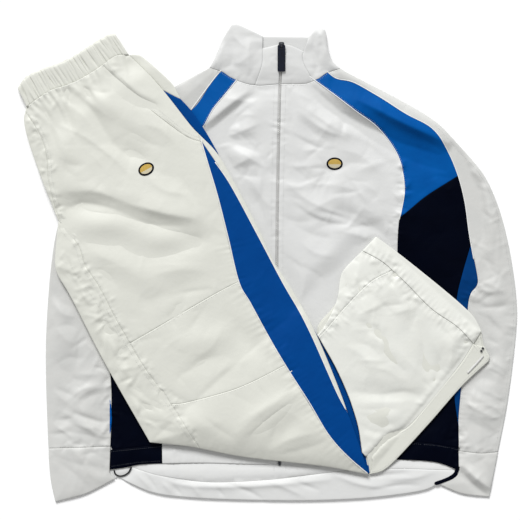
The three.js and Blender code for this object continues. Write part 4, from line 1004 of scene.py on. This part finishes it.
KNEE_LOW = [(21, -153), (0, -165), (-45, -187), (-80, -200), (-140, -216), (-174, -219)]
LEG_CREASES = [
    (4.0, 14, [(-214, 88), (-176, 76), (-130, 68)]),
    (-4.4, 12, [(-216, 50), (-176, 40), (-128, 36)]),
    (-5.0, 20, [(-316, 60), (-266, 61), (-216, 56)]),
    (5.0, 22, [(-338, 108), (-300, 110), (-262, 104), (-218, 88), (-170, 76), (-128, 70)]),
    (-3.4, 14, [(-342, 76), (-300, 74), (-268, 66), (-228, 48), (-200, 38), (-165, 32), (-128, 32)]),
    (1.0, 4.5, [(-341, 214), (-300, 196), (-255, 164), (-224, 133)]),
    (1.8, 10, [(-330, 250), (-296, 224), (-276, 196)]),
    (-1.6, 10, [(-236, 208), (-200, 186), (-178, 178)]),
    (1.6, 11, [(-214, 214), (-180, 206), (-150, 176)]),
    (-1.8, 10, [(-336, 160), (-318, 150), (-296, 150)]),
    (1.5, 12, [(-296, 20), (-262, 6), (-236, -6)]),
    (-1.6, 10, [(-282, -10), (-262, -18), (-244, -40)]),
    (1.5, 12, [(-190, -20), (-150, -10), (-110, -12)]),
    (-1.8, 12, [(-176, -90), (-150, -70), (-140, -48)]),
    (1.6, 12, [(-120, -200), (-90, -170), (-50, -150)]),
    (-1.8, 12, [(-140, -170), (-110, -150), (-86, -144)]),
    (2.0, 11, [(14, -200), (-20, -224), (-62, -250)]),
    (-2.2, 9, [(26, -216), (-4, -240), (-40, -264)]),
    (1.8, 10, [(58, -262), (20, -272), (-10, -290)]),
    (-1.6, 9, [(74, -276), (40, -288), (4, -296)]),
    (-1.6, 10, [(-200, -176), (-184, -200), (-160, -224)]),
    (1.6, 9, [(-176, -240), (-150, -252), (-130, -270)]),
    (-3.0, 3.6, [(-268, 304), (-250, 286), (-230, 266), (-211, 252), (-188, 244)]),
    (1.4, 6, [(-256, 300), (-236, 282), (-212, 262), (-190, 252)]),
    (-2.2, 9, [(-262, 276), (-236, 262), (-206, 246), (-182, 238)]),
    (-1.0, 3.0, [(-190, 243), (-180, 230), (-170, 218), (-150, 202)]),
    (-1.5, 5, [(-361, 250), (-355, 228), (-348, 203), (-340, 178)]),
    (1.0, 6, [(-352, 250), (-344, 222), (-334, 186)]),
    (-1.8, 6, [(-316, 262), (-300, 250), (-282, 232), (-268, 208), (-256, 188)]),
    (-1.4, 7, [(-256, 188), (-238, 172), (-214, 166), (-196, 156)]),
    (1.2, 6, [(-296, 252), (-276, 238), (-258, 222)]),
    (-1.2, 4, [(-294, 280), (-288, 262), (-282, 252)]),
    (-1.0, 4, [(-288, 268), (-270, 262), (-256, 264)]),
    (-1.5, 5, [(-340, 88), (-318, 86), (-300, 92), (-270, 88), (-240, 78)]),
    (-1.6, 7, [(-240, 78), (-214, 66), (-190, 58), (-150, 56)]),
    (1.5, 7, [(-326, 76), (-300, 78), (-270, 74), (-240, 58), (-218, 46)]),
    (1.2, 6, [(-296, 112), (-270, 108), (-248, 98)]),
    (-1.0, 6, [(-330, 150), (-322, 140), (-308, 132)]),
    (-0.9, 6, [(-232, 20), (-200, 14), (-176, 18), (-150, 28)]),
    (1.0, 7, [(-200, 130), (-170, 110), (-140, 104), (-124, 84)]),
    (-1.0, 6, [(-146, 130), (-132, 106), (-124, 90)]),
    (-0.9, 5, [(-160, -50), (-130, -44), (-100, -40)]),
    (-0.9, 6, [(-108, -64), (-120, -84), (-136, -104)]),
    (0.9, 7, [(-84, -100), (-100, -130), (-130, -150)]),
    (1.1, 7, [(20, -200), (-10, -222), (-40, -244), (-62, -262)]),
    (-1.3, 6, [(34, -206), (6, -228), (-22, -254), (-44, -268)]),
    (-1.0, 5, [(-110, -240), (-90, -256), (-70, -268)]),
    (-1.0, 5, [(-170, -196), (-150, -210), (-130, -216)]),
    (-1.2, 6, [(-270, -80), (-262, -104), (-250, -120)]),
    (1.1, 6, [(-308, -18), (-296, -26), (-282, -24)]),
    (-1.1, 5, [(-330, -6), (-318, -22), (-310, -36), (-296, -60)]),
    (0.9, 6, [(-250, -150), (-236, -166), (-216, -180)]),
    (-1.0, 6, [(-236, -190), (-214, -196), (-196, -214)]),
    (-0.9, 5, [(-190, -250), (-176, -258), (-156, -262)]),
    (-1.0, 5, [(-3, -284), (-6, -268), (0, -252)]),
]
GATHER_HEIGHT, GATHER_COUNT, GATHER_REACH = 2.2, 21, 52
LEG_CRUMPLES = [(130, 1.0, 12, 100), (480, 0.5, 4.5, 54)]
LEG_SINK = 0.6


def gathers(line, height, count, reach, draws):
    """Hollows that an elastic band draws into the cloth beside it, long and uneven."""
    off, along = nearest(spline(line))
    length = np.linalg.norm(np.diff(spline(line), axis=0), axis=1).sum()
    marks = np.cumsum(draws.uniform(0.5, 1.6, count + 1))
    marks = marks * length / marks[-1]
    size = draws.uniform(0.35, 1.0, count + 1)
    far = draws.uniform(0.3, 1.3, count + 1) * reach
    heights = np.zeros_like(map_x)
    for mark, strength, run, lean in zip(marks, size, far, draws.uniform(-0.25, 0.25, count + 1)):
        across = along - mark - lean * off
        near = np.exp(-((across / (2.4 + 0.075 * off)) ** 2))
        beside = np.exp(-(((abs(across) - 5.5 - 0.12 * off) / (3.4 + 0.07 * off)) ** 2))
        heights += height * strength * (0.45 * beside - near) * np.exp(-((off / run) ** 1.3))
    return heights


draws = np.random.default_rng(23)
leg_fine = folds_of(LEG_CREASES, gain=1.1, power=1.35, tilt=0.4) + crumples(LEG_CRUMPLES, draws)
leg_fine += gathers(WAIST_SEAM, GATHER_HEIGHT, GATHER_COUNT, GATHER_REACH, draws)
leg_fine += seam_work([
    (RISE_SEAM, 0.5, 7.0, 9),
    (SEAT_EDGE, 0.4, 6.0, 9),
    (INSEAM, 0.4, 7.0, 8),
    (INSEAM_STITCH, 0.3, 7.0, 8),
    (STRIPE_FRONT[4:], 0.4, 9.0, 15),
    (STRIPE_BACK, 0.3, 11.0, 7),
    (KNEE_TOP, 0.3, 8.0, 7),
    (KNEE_LOW, 0.35, 8.0, 8),
    (FOLD_EDGE, 0.3, 12.0, 10),
], [
    (SEAT_EDGE, 110, 1.9, 2.4, 12, 8),
    (RISE_SEAM, 90, 1.8, 2.2, 10, 6),
    (WAIST_SEAM, 80, 1.6, 2.6, 16, 10),
    (INSEAM_EDGE, 60, 1.7, 3.0, 20, 10),
    (INSEAM, 150, 1.5, 2.1, 10, 5),
    (INSEAM_STITCH, 50, 1.5, 2.2, 10, 5),
    ([(-330, 0), (-290, -60), (-255, -120), (-220, -185), (-186, -245)], 60, 2.2, 4.0, 26, 9),
    (KNEE_TOP, 16, 0.7, 2.6, 14, 6),
    (STRIPE_FRONT[5:], 40, 1.0, 3.2, 20, 9),
    (FOLD_EDGE[:5], 24, 0.9, 3.4, 22, 9),
], draws)
leg_top = np.maximum(leg_base + leg_fine * eased(trouser_depth, 4), bed + LEG_EDGE - LEG_SINK)
stripe_blue = taffeta("stripe_blue", (0.0004, 0.054, 0.245), (0.0003, 0.046, 0.215),
                      roughness=0.5, specular=0.04)
for node, piece, material, slot in [
    ("leg_thigh", "thigh_panel", trouser_taffeta, "trouser_cloth"),
    ("leg_knee", "knee_panel", trouser_taffeta, "trouser_cloth"),
    ("leg_shin", "shin_panel", trouser_taffeta, "trouser_cloth"),
    ("hip_pocket", "pocket_bearer", trouser_taffeta, "trouser_cloth"),
    ("seat_strip", "seat_panel", trouser_taffeta, "trouser_cloth"),
    ("inseam_strip", "inner_leg_panel", trouser_taffeta, "trouser_cloth"),
    ("side_stripe", "stripe_panel", stripe_blue, "blue_cloth"),
    ("side_back_strip", "back_leg_edge", trouser_taffeta, "trouser_cloth"),
]:
    cloth(piece, upper_outline(node), leg_top, TOP_WALL, material, slot,
          node)

# ---- Lower legs turned under
# Below the knee the leg turns under and comes out to the side: its ankle hem, its calf seam and
# the zipped placket along its lower edge show, and the under leg's blue stripe beside it.
ANKLE_SEAM = [(112, 32), (133, 18), (165, 0), (200, -32), (240, -72), (280, -100), (306, -127), (312, -134)]
CALF_SEAM = [(181, -11), (145, -30), (105, -70), (75, -105), (50, -130)]
PLACKET_FOLD = [(320, -102), (305, -127), (285, -157), (258, -190), (225, -230), (203, -255), (170, -272),
                (139, -306)]
FLAP_CREASES = [
    (-1.8, 4.5, [(312, -150), (288, -178), (262, -208), (236, -236)]),
    (1.3, 4, [(318, -156), (296, -176), (268, -206)]),
    (-1.6, 4, [(236, -240), (212, -262), (180, -292), (156, -314)]),
    (1.2, 4, [(206, -260), (184, -282), (160, -300)]),
    (-1.2, 8, [(140, -22), (126, -34), (108, -46)]),
    (2.2, 11, [(176, -30), (190, -56), (196, -90)]),
    (-2.0, 10, [(212, -50), (216, -76), (206, -104)]),
    (-2.0, 11, [(130, -90), (160, -110), (176, -140)]),
    (2.0, 11, [(110, -130), (140, -150), (150, -180)]),
    (-1.8, 10, [(260, -130), (250, -160), (250, -180)]),
    (1.8, 10, [(276, -110), (270, -136), (270, -156)]),
    (-1.8, 10, [(128, -236), (150, -240), (180, -252)]),
    (1.6, 9, [(134, -262), (150, -276), (160, -286)]),
    (-1.6, 7, [(220, -90), (226, -120), (228, -150), (240, -190)]),
    (1.3, 7, [(240, -100), (246, -130), (258, -156)]),
    (-1.2, 6, [(200, -170), (180, -150), (166, -128), (150, -100)]),
    (1.2, 7, [(190, -180), (170, -166), (140, -160)]),
    (-1.3, 7, [(120, -200), (160, -204), (200, -200), (236, -212)]),
    (1.0, 7, [(130, -216), (180, -216), (214, -212)]),
    (-0.9, 4, [(128, -226), (160, -227), (192, -226)]),
    (-1.0, 6, [(120, -120), (150, -134), (160, -156)]),
    (0.9, 6, [(190, -56), (200, -70), (204, -86)]),
    (-0.9, 5, [(246, -92), (262, -116), (270, -130)]),
    (-1.0, 5, [(180, -4), (186, -18), (196, -26)]),
    (-0.9, 5, [(150, -50), (170, -70), (184, -84)]),
    (-1.0, 5, [(130, -250), (150, -262), (172, -262)]),
]
FLAP_CRUMPLES = [(200, 0.9, 11, 90), (480, 0.5, 4.5, 50)]
FLAP_SINK = 0.8
PLACKET_GROOVE, PLACKET_RIDGE = 3.4, 1.1
RIDGE_OFF = np.array([-6.5, 6.0])
draws = np.random.default_rng(37)
flap_fine = folds_of(FLAP_CREASES, power=1.3, tilt=0.4) + crumples(FLAP_CRUMPLES, draws)
flap_fine += seam_work([
    (ANKLE_SEAM, 0.6, 8.0, 10),
    (CALF_SEAM, 0.6, 7.5, 10),
    (PLACKET_FOLD, 0.5, 8.0, 10),
    (PLACKET_EDGE, 0.4, 9.0, 8),
], [
    (ANKLE_SEAM, 90, 1.6, 2.3, 12, 8),
    (CALF_SEAM, 110, 1.7, 2.2, 12, 8),
    (PLACKET_FOLD, 90, 1.5, 2.4, 14, 7),
    (PLACKET_EDGE, 70, 1.4, 2.4, 14, 7),
    ([(80, -60), (100, -10)], 16, 1.3, 4.5, 30, 14),
    ([(150, -60), (230, -160)], 30, 1.2, 4.0, 40, 26),
], draws)
# The groove where the placket folds under, and the ridge of cloth beside it.
flap_fine -= PLACKET_GROOVE * np.exp(-((nearest(spline(PLACKET_FOLD))[0] / 3.0) ** 2))
flap_fine += PLACKET_RIDGE * np.exp(-((nearest(spline(PLACKET_FOLD) + RIDGE_OFF)[0] / 6) ** 2))
calf_taffeta = taffeta("calf_taffeta", (0.745, 0.75, 0.70), (0.70, 0.71, 0.67))
flap_top = np.maximum(flap_base + flap_fine * eased(legs_depth, 3), bed + FLAP_EDGE - FLAP_SINK)
for node, piece, top, material, slot in [
    ("lower_leg_front", "calf_panel", flap_top, calf_taffeta, "trouser_cloth"),
    ("lower_leg_back", "calf_back_panel", flap_top, calf_taffeta, "trouser_cloth"),
    ("ankle_hem", "ankle_band", flap_top + HEM_EXTRA, calf_taffeta, "trouser_cloth"),
    ("ankle_placket", "placket", flap_top, trouser_taffeta, "trouser_cloth"),
    ("under_leg_stripe", "under_stripe", under_base, stripe_blue, "blue_cloth"),
    ("under_leg_hip", "under_hip_panel", under_base, trouser_taffeta, "trouser_cloth"),
    ("under_hip_stripe", "under_hip_band", under_base, stripe_blue, "blue_cloth"),
]:
    cloth(piece, upper_outline(node), top, TOP_WALL, material, slot, node)

# ---- Waistband
# A 33 mm tunnel of taffeta over wide elastic, drawn up in uneven gathers that run from its seam
# to its top edge. The back half of the same band shows below it.
BAND_PINCHES = 90
BAND_COLUMNS = 300
BAND_ROWS = 12
BAND_OVERLAP = (0.6, -0.9)
waist_low = spline(np.array(WAIST_SEAM) + BAND_OVERLAP, 1.0)
waist_high = spline(WAIST_TOP, 1.0)


def along_line(line, share):
    """Points at shares of the way along a line."""
    at_share = share * (len(line) - 1)
    return np.stack([np.interp(at_share, np.arange(len(line)), line[:, k]) for k in range(2)], axis=1)


def gathered_band(name, level, depth, wall, seed, shift, replaced):
    """The band between its two lines, as gathers of uneven width and depth."""
    draws = np.random.default_rng(seed)
    share = np.linspace(0, 1, BAND_COLUMNS + 1)
    wide = np.arange(BAND_PINCHES) % 3 == 0
    pinches = (draws.uniform(0, 1, BAND_PINCHES), draws.uniform(0.15, 1, BAND_PINCHES) ** 1.3,
               draws.uniform(-0.014, 0.014, BAND_PINCHES),
               draws.uniform(0.0022, 0.0045, BAND_PINCHES) * np.where(wide, 2.4, 1.0),
               draws.uniform(0, 1, BAND_PINCHES), draws.uniform(0.2, 0.6, BAND_PINCHES))
    low, high = along_line(waist_low, share), along_line(waist_high, share)
    scallop = np.interp(share, np.linspace(0, 1, 46), draws.uniform(-0.028, 0.028, 46))
    rows = []
    for j in range(BAND_ROWS + 1):
        v = j / BAND_ROWS
        spot = low * (1 - v) + high * v + shift + (v * v * scallop)[:, None] * (high - low)
        wave = np.ones_like(share)
        for place, strength, lean, width, middle, reach in zip(*pinches):
            run = math.exp(-(((v - middle) / reach) ** 2))
            wave -= strength * run * np.exp(-(((share - place - lean * (v - 0.5)) / width) ** 2))
        wave = np.maximum(wave, -0.35)
        edge = 0.2 * math.exp(-v / 0.03) + 0.9 * math.exp(-(1 - v) / 0.04)
        ends = np.minimum(share, 1 - share) / 0.012
        z = level + depth * wave - edge - 0.8 * np.exp(-ends)
        rows.append(np.column_stack([spot, z]))
    top = np.stack(rows)
    a = np.arange(BAND_ROWS)[:, None] * len(share) + np.arange(BAND_COLUMNS)
    faces = np.stack([a, a + len(share), a + len(share) + 1, a + 1], axis=-1).reshape(-1, 4)
    spots, high = top[..., :2].reshape(-1, 2), top[..., 2].ravel()
    piece = new_piece(name, *shell(spots, faces, high, high - wall), trouser_taffeta, "trouser_cloth")
    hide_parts(replaced)


# Columns: name, level, depth of its gathers, wall, seed, shift, node
for row in [
    ("gathered_waist_back", 4.4, 1.2, 2.6, 5, (-0.6, 0.4), "hidden_layers"),
    ("gathered_waist", 7.5, 1.9, TOP_WALL, 3, (0.0, 0.0), "waistband"),
]:
    gathered_band(*row)

# ---- Navy turn of the hem
# Beside the right cuff the navy end of the hem turns in below the jacket, as a short tongue of
# the same cloth.
HEM_TURN = [(285, -317), (284, -326), (276, -334), (262, -340), (248, -345), (245, -341), (258, -336),
            (269, -331), (276, -325), (278, -316)]
TRIM_WALL = 0.8
turn_top = np.maximum(jacket_top, tail_top) + HEM_EXTRA
cloth("hem_turn_right", spline([*HEM_TURN, HEM_TURN[0]], 3.0)[:-1], turn_top, TRIM_WALL, side_navy,
      "navy_cloth")

# ---- Left sleeve's under strip
# The left sleeve has a blue strip under the arm as the right one has. The sleeve lies over it, so
# a thin sliver is all that peeps out beside the navy.
SLIVER = [(-258.6, -212), (-256.6, -222), (-255.6, -238), (-256.2, -252), (-258.8, -264)]
SLIVER_LIFT = 0.5
cloth("sleeve_wedge_left", spline([*SLIVER, SLIVER[0]], 3.0)[:-1], jacket_top + SLIVER_LIFT, TRIM_WALL,
      raglan_blue, "blue_cloth")

# ---- Zips
# The jacket's zip is a fine white coil on white tape, the tape sewn to both fronts. The ankle's
# is the same, short, with a dark slider at its upper end.
ZIP_PITCH = 1.5
ZIP_ENDS = (-306, 324)
TAPE_WALL = 0.7
TAPE_SUNK = 0.55  # how far the tape lies below the fronts
TOOTH = (0.85, 0.42, 0.55)  # half width, half length, half height
TOOTH_SIDE, TOOTH_LIFT = 0.62, 0.35
ANKLE_ZIP = [(320, -145), (309, -158), (296, -171)]
ANKLE_TAPE_LIFT = 1.1
ANKLE_TOOTH, ANKLE_LIFT = (0.8, 0.4, 0.4), 1.35


def copies(shape, sides, places):
    """Points and faces of copies of a small shape, at places (x, y, z, turn) in mm."""
    points, faces = [], []
    for k, (x, y, z, turn) in enumerate(places):
        c, n = math.cos(turn), math.sin(turn)
        points.append((shape @ np.array([(c, n, 0), (-n, c, 0), (0, 0, 1)]) + (x, y, z)) * MM)
        faces.append(sides + len(shape) * k)
    return np.vstack(points), np.vstack(faces)


def boxes(name, places, sizes, material, slot):
    """Small eight-cornered blocks, narrower at the top, joined in one piece."""
    corners = np.array([(sx, sy, sz) for sx in (-1, 1) for sy in (-1, 1) for sz in (-1, 1)], float) * sizes
    corners[:, :2] *= np.where(corners[:, 2:] > 0, 0.7, 1.0)
    quads = np.array([(0, 1, 3, 2), (4, 6, 7, 5), (0, 4, 5, 1), (2, 3, 7, 6), (0, 2, 6, 4), (1, 5, 7, 3)])
    piece = new_piece(name, *copies(corners, quads, places), material, slot)
    piece.data.shade_flat()


def spots_along(line, pitch, off=0.0):
    """Points at even steps along a smooth line, moved sideways, with the line's direction."""
    line = evenly(spline(line, 3.0), pitch)
    run = np.gradient(line, axis=0)
    run /= np.linalg.norm(run, axis=1, keepdims=True)
    spots = line + off * np.column_stack([-run[:, 1], run[:, 0]])
    return spots[:, 0], spots[:, 1], np.arctan2(run[:, 1], run[:, 0])


def in_sight(x, y, shown, hidden, edge, clear):
    """Which spots lie so far inside a piece's edge, and so far clear of all that covers it."""
    keep = at(shown, x, y) > edge
    for depth in hidden:
        keep &= at(depth, x, y) < -clear
    return keep


white_zip = taffeta("zip_tape_white", (0.64, 0.64, 0.63), (0.60, 0.60, 0.59), roughness=0.45)
coil = Nodes("coil_white")
coil_tint = coil.add("TexNoise", {}, {"Vector": coil.place(), "Scale": 300.0})
coil_white = coil.finish(
    Base_Color=coil.between(coil_tint, (0.5, 0.5, 0.49), (0.62, 0.62, 0.6)), Roughness=0.4 + coil_tint * 0.1)
tape_top = jacket_top - TAPE_SUNK
cloth("zip_tapes", upper_outline("zip_tape"), tape_top, TAPE_WALL, white_zip, "white_zip",
      "zip_tape")
x, y, turn = spots_along(ZIP, ZIP_PITCH)
side = np.where(np.arange(len(x)) % 2, TOOTH_SIDE, -TOOTH_SIDE)
keep = in_sight(x, y, jacket_depth, [trouser_depth, legs_depth], edge=0, clear=1)
keep &= (ZIP_ENDS[0] < y) & (y < ZIP_ENDS[1])
x, y = x - side * np.sin(turn), y + side * np.cos(turn)
coil_places = np.column_stack([x, y, at(tape_top, x, y) + TOOTH_LIFT, turn + math.pi / 2])[keep]
boxes("zip_coil", coil_places, TOOTH, coil_white, "white_zip")
cloth("ankle_zip_tape", upper_outline("ankle_zip"), flap_top + ANKLE_TAPE_LIFT, TRIM_WALL, white_zip,
      "white_zip", "ankle_zip")
x, y, turn = spots_along(ANKLE_ZIP, ZIP_PITCH)
boxes("ankle_coil", zip(x, y, at(flap_top, x, y) + ANKLE_LIFT, turn + math.pi / 2), ANKLE_TOOTH, coil_white,
      "white_zip")

# ---- Zip hardware
# Slider and stop box are dark die-cast metal. The pull is a flat tab of moulded navy rubber that
# hangs on the slider's bridge. The ankle zip has a small slider of the same metal.
SLIDER_HALF = (1.5, 1.7, 0.8)
SLIDER_TURN = 0.9
metal = Nodes("gunmetal")
metal_wear = metal.add("TexNoise", {}, {"Vector": metal.place(), "Scale": 260.0, "Detail": 4.0})
dark_metal = metal.finish(
    Base_Color=metal.between(metal_wear, (0.05, 0.052, 0.06), (0.10, 0.105, 0.115)), Metallic=1.0,
    Roughness=0.28 + metal_wear * 0.25, Normal=metal.bump(0.2, 0.0001, metal_wear))
rubber = Nodes("navy_rubber")
rubber_place = rubber.place()
rubber_grain = rubber.add("TexNoise", {}, {"Vector": rubber_place, "Scale": 520.0, "Detail": 3.0})
rubber_scuffs = rubber.add("TexNoise", {}, {"Vector": rubber_place, "Scale": 120.0, "Detail": 5.0,
                                            "Distortion": 2.0})
navy_rubber = rubber.finish(
    specular=0.25, Roughness=0.5 + rubber_grain * 0.15, Normal=rubber.bump(0.3, 0.00012, rubber_grain),
    Base_Color=rubber.between(rubber_scuffs * 1.6 - 0.4, (0.0008, 0.0016, 0.006), (0.004, 0.009, 0.026)))
for node, material in [("zip_slider", dark_metal), ("zip_box", dark_metal), ("zip_pull", navy_rubber)]:
    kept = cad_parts[node]
    kept.data.materials.clear()
    kept.data.materials.append(material)
slider_level = float(at(flap_top, 317, -137))
slider_places = [(317, -137, slider_level + 1.6, SLIDER_TURN),
                 (319.4, -132.8, slider_level + 1.5, SLIDER_TURN)]
boxes("ankle_slider", slider_places, SLIDER_HALF, dark_metal, "dark_metal")

# ---- Badges
# Embroidered ovals, sewn on the chest and high on the thigh: satin stitch in navy round the rim,
# gold and cream thread inside it.
BADGE = (12.7, 9.8)
BADGE_RIM = 2.9
# The rim's section. Columns: how far in from its outer edge, height.
RIM_SECTION = [(0.0, -0.1), (0.3, 0.75), (0.8, 1.15), (1.45, 1.3), (2.1, 1.15), (2.6, 0.75),
               (BADGE_RIM, -0.1)]
RIM_STITCHES = 132
STITCH_GROOVE = 0.16
FIELD_INSET, FIELD_LIFT, FIELD_WALL = 2.7, 0.85, 0.8
FIELD_EDGE, FIELD_STEP = 1.2, 1.3
CREAM_BELOW = -1.0


def thread(name, dark, light, scale, direction):
    """Rows of satin stitch."""
    n = Nodes(name)
    rows = n.add("TexWave", {"bands_direction": direction},
                 {"Vector": n.place(), "Scale": scale, "Distortion": 0.8, "Detail": 2.0})
    return n.finish(specular=0.06, Base_Color=n.between(rows, dark, light),
                    Roughness=0.42 + rows * 0.15, Normal=n.bump(0.7, 0.0003, rows))


navy_thread = thread("navy_thread", (0.0008, 0.001, 0.004), (0.004, 0.006, 0.018), 700.0, "X")
gold_thread = thread("gold_thread", (0.52, 0.33, 0.06), (0.80, 0.58, 0.18), 800.0, "Y")
cream_thread = thread("cream_thread", (0.62, 0.55, 0.36), (0.82, 0.76, 0.58), 800.0, "Y")


def oval(middle, turn, inset, count):
    """The badge's oval that far in from its edge, as that many points."""
    angles = np.linspace(0, 2 * math.pi, count, endpoint=False)
    x, y = (BADGE[0] - inset) * np.cos(angles), (BADGE[1] - inset) * np.sin(angles)
    return np.column_stack([middle[0] + x * math.cos(turn) - y * math.sin(turn),
                            middle[1] + x * math.sin(turn) + y * math.cos(turn)])


for place, middle, turn, surface in [
    ("chest", (90, 153), 0.0, jacket_top),
    ("thigh", (-201, 144), 0.5, leg_top),
]:
    count = 2 * RIM_STITCHES
    points = []
    for inset, height in RIM_SECTION:
        spots = oval(middle, turn, inset, count)
        ridge = np.where(np.arange(count) % 2, 0.0, -STITCH_GROOVE) * (height > 0)
        points.append(np.column_stack([spots, at(surface, *spots.T) + height + ridge]))
    rounds = len(RIM_SECTION)
    faces = [(j * count + i, j * count + (i + 1) % count, (j + 1) % rounds * count + (i + 1) % count,
              (j + 1) % rounds * count + i) for j in range(rounds) for i in range(count)]
    rim = new_piece(f"badge_{place}_edge", np.vstack(points) * MM, faces, navy_thread, "navy_thread")
    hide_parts(f"badge_{place}_rim")
    points, faces, _ = flat_mesh(smooth_ring(oval(middle, turn, FIELD_INSET, 60), FIELD_EDGE), FIELD_STEP)
    high = at(surface, *points.T) + FIELD_LIFT
    field = new_piece(f"badge_{place}_middle", *shell(points, faces, high, high - FIELD_WALL), cream_thread,
                      "gold_thread")
    field.data.materials.append(gold_thread)
    upper = (points[:, 0] - middle[0]) * -math.sin(turn) + (points[:, 1] - middle[1]) * math.cos(turn)
    for face in field.data.polygons[: len(faces)]:
        face.material_index = int(upper[list(face.vertices)].mean() > CREAM_BELOW)
    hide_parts(f"badge_{place}_field")

# ---- Piping
# Thin white cord sewn into the seams between blue and white cloth, on both raglan bands and along
# the trousers' side stripe.
PIPING_RADIUS = 0.7
PIPING_LIFT = 0.2
piping = Nodes("piping_white")
piping_twist = piping.add("TexWave", {"bands_direction": "DIAGONAL"},
                          {"Vector": piping.place(), "Scale": 500.0})
piping_white = piping.finish(
    Base_Color=piping.between(piping_twist, (0.80, 0.81, 0.80), (0.88, 0.89, 0.88)), Roughness=0.5,
    Normal=piping.bump(0.3, 0.0001, piping_twist))
leg_depth = depth_into(leg_ring)
# What is sewn on: its height map, slot, depth map and the depth maps of what covers it
on_jacket = (jacket_top, "jacket_cloth", jacket_depth, [trouser_depth, legs_depth])
on_leg = (leg_top, "trouser_cloth", leg_depth, [])
for name, line, (surface, slot, shown, hidden) in [
    ("piping_raglan_low_right", SIDE_RIGHT[:8], on_jacket),
    ("piping_raglan_top_right", ARM_RIGHT[:11], on_jacket),
    ("piping_raglan_low_left", RAGLAN_LOW_LEFT, on_jacket),
    ("piping_raglan_top_left", RAGLAN_TOP_LEFT, on_jacket),
    ("piping_stripe_front", STRIPE_FRONT[1:], on_leg),
    ("piping_stripe_back", STRIPE_BACK[1:], on_leg),
]:
    x, y, _ = spots_along(line, 3.0)
    keep = in_sight(x, y, shown, hidden, edge=0.5, clear=1.5)
    spots = np.column_stack([x, y, at(surface, x, y) + PIPING_LIFT])[keep]
    tube(name, spots * MM, PIPING_RADIUS * MM, piping_white, slot, 6)

# ---- Stitching
# Lockstitch of 3 mm: white on white cloth, grey on the navy hems, in single or double rows beside
# the seams, the hems, the zip and the pocket.
STITCH = (1.15, 0.24, 0.2)  # half length, half width, half height
STITCH_PITCH = 3.0
STITCH_LIFT = 0.04
cotton_white = thread("stitch_white", (0.60, 0.61, 0.60), (0.72, 0.73, 0.72), 900.0, "X")
cotton_grey = thread("stitch_grey", (0.10, 0.11, 0.13), (0.20, 0.21, 0.23), 900.0, "X")


def stitches(name, material, surface, slot, shown, hidden, rows):
    """Rows of stitches: (line, sideways offset), as lozenges that stand off the cloth."""
    shape = np.array([(1, 0, 0), (-1, 0, 0), (0, 1, 0), (0, -1, 0), (0, 0, 1), (0, 0, -1)], float) * STITCH
    sides = np.array([(0, 2, 4), (2, 1, 4), (1, 3, 4), (3, 0, 4), (2, 0, 5), (1, 2, 5), (3, 1, 5), (0, 3, 5)])
    places = []
    for line, off in rows:
        x, y, turn = spots_along(line, STITCH_PITCH, off)
        keep = in_sight(x, y, shown, hidden, edge=1.5, clear=2)
        places.append(np.column_stack([x, y, at(surface, x, y) + STITCH_LIFT, turn])[keep])
    new_piece(name, *copies(shape, sides, np.vstack(places)), material, slot)


stitches("jacket_stitches", cotton_white, *on_jacket, [
    (NECK, 2.0), (NECK, -2.0), (CUFF_SEAM_LEFT, 2.0), (CUFF_SEAM_LEFT, -2.0), (CUFF_SEAM_RIGHT, 2.0),
    (CUFF_SEAM_RIGHT, -2.0), (ZIP[1:], 9.0), (ZIP[1:], -9.0), (SIDE_RIGHT[:7], 2.2), (RAGLAN_LOW_LEFT, -2.2),
    (ARM_RIGHT[10:17], 2.4), (SLEEVE_RIGHT[3:14], -5.0), (THROAT, -2.0), (THROAT, -5.0),
])
stitches("hem_stitches", cotton_grey, hem_top, "navy_cloth", *on_jacket[2:], [
    (HEM_SEAM[:2], -2.4), (HEM_SEAM[5:], -2.4), ([(-255, -316), (-215, -310), (-182, -308)], 0.0),
])
stitches("leg_stitches", cotton_white, *on_leg, [
    (RISE_SEAM, 2.0), (RISE_SEAM, 6.5), (INSEAM, 2.0), (INSEAM, -6.0), (INSEAM_STITCH, 0.0),
    ([(-64, -32), *KNEE_TOP[1:]], 1.8), ([(6, -161), *KNEE_LOW[2:]], 1.8), (POCKET_MOUTH, 2.0),
    (POCKET_MOUTH, 6.0), (STRIPE_FRONT[1:], -2.0), (WAIST_SEAM, 2.0),
])
stitches("calf_stitches", cotton_white, flap_top, "trouser_cloth", depth_into(turned_ring), [leg_depth], [
    (ANKLE_SEAM, 2.0), (ANKLE_SEAM, -2.0), (CALF_SEAM, 2.0), (CALF_SEAM, -2.0), (PLACKET_FOLD, 3.0),
    (PLACKET_EDGE, -3.0),
])
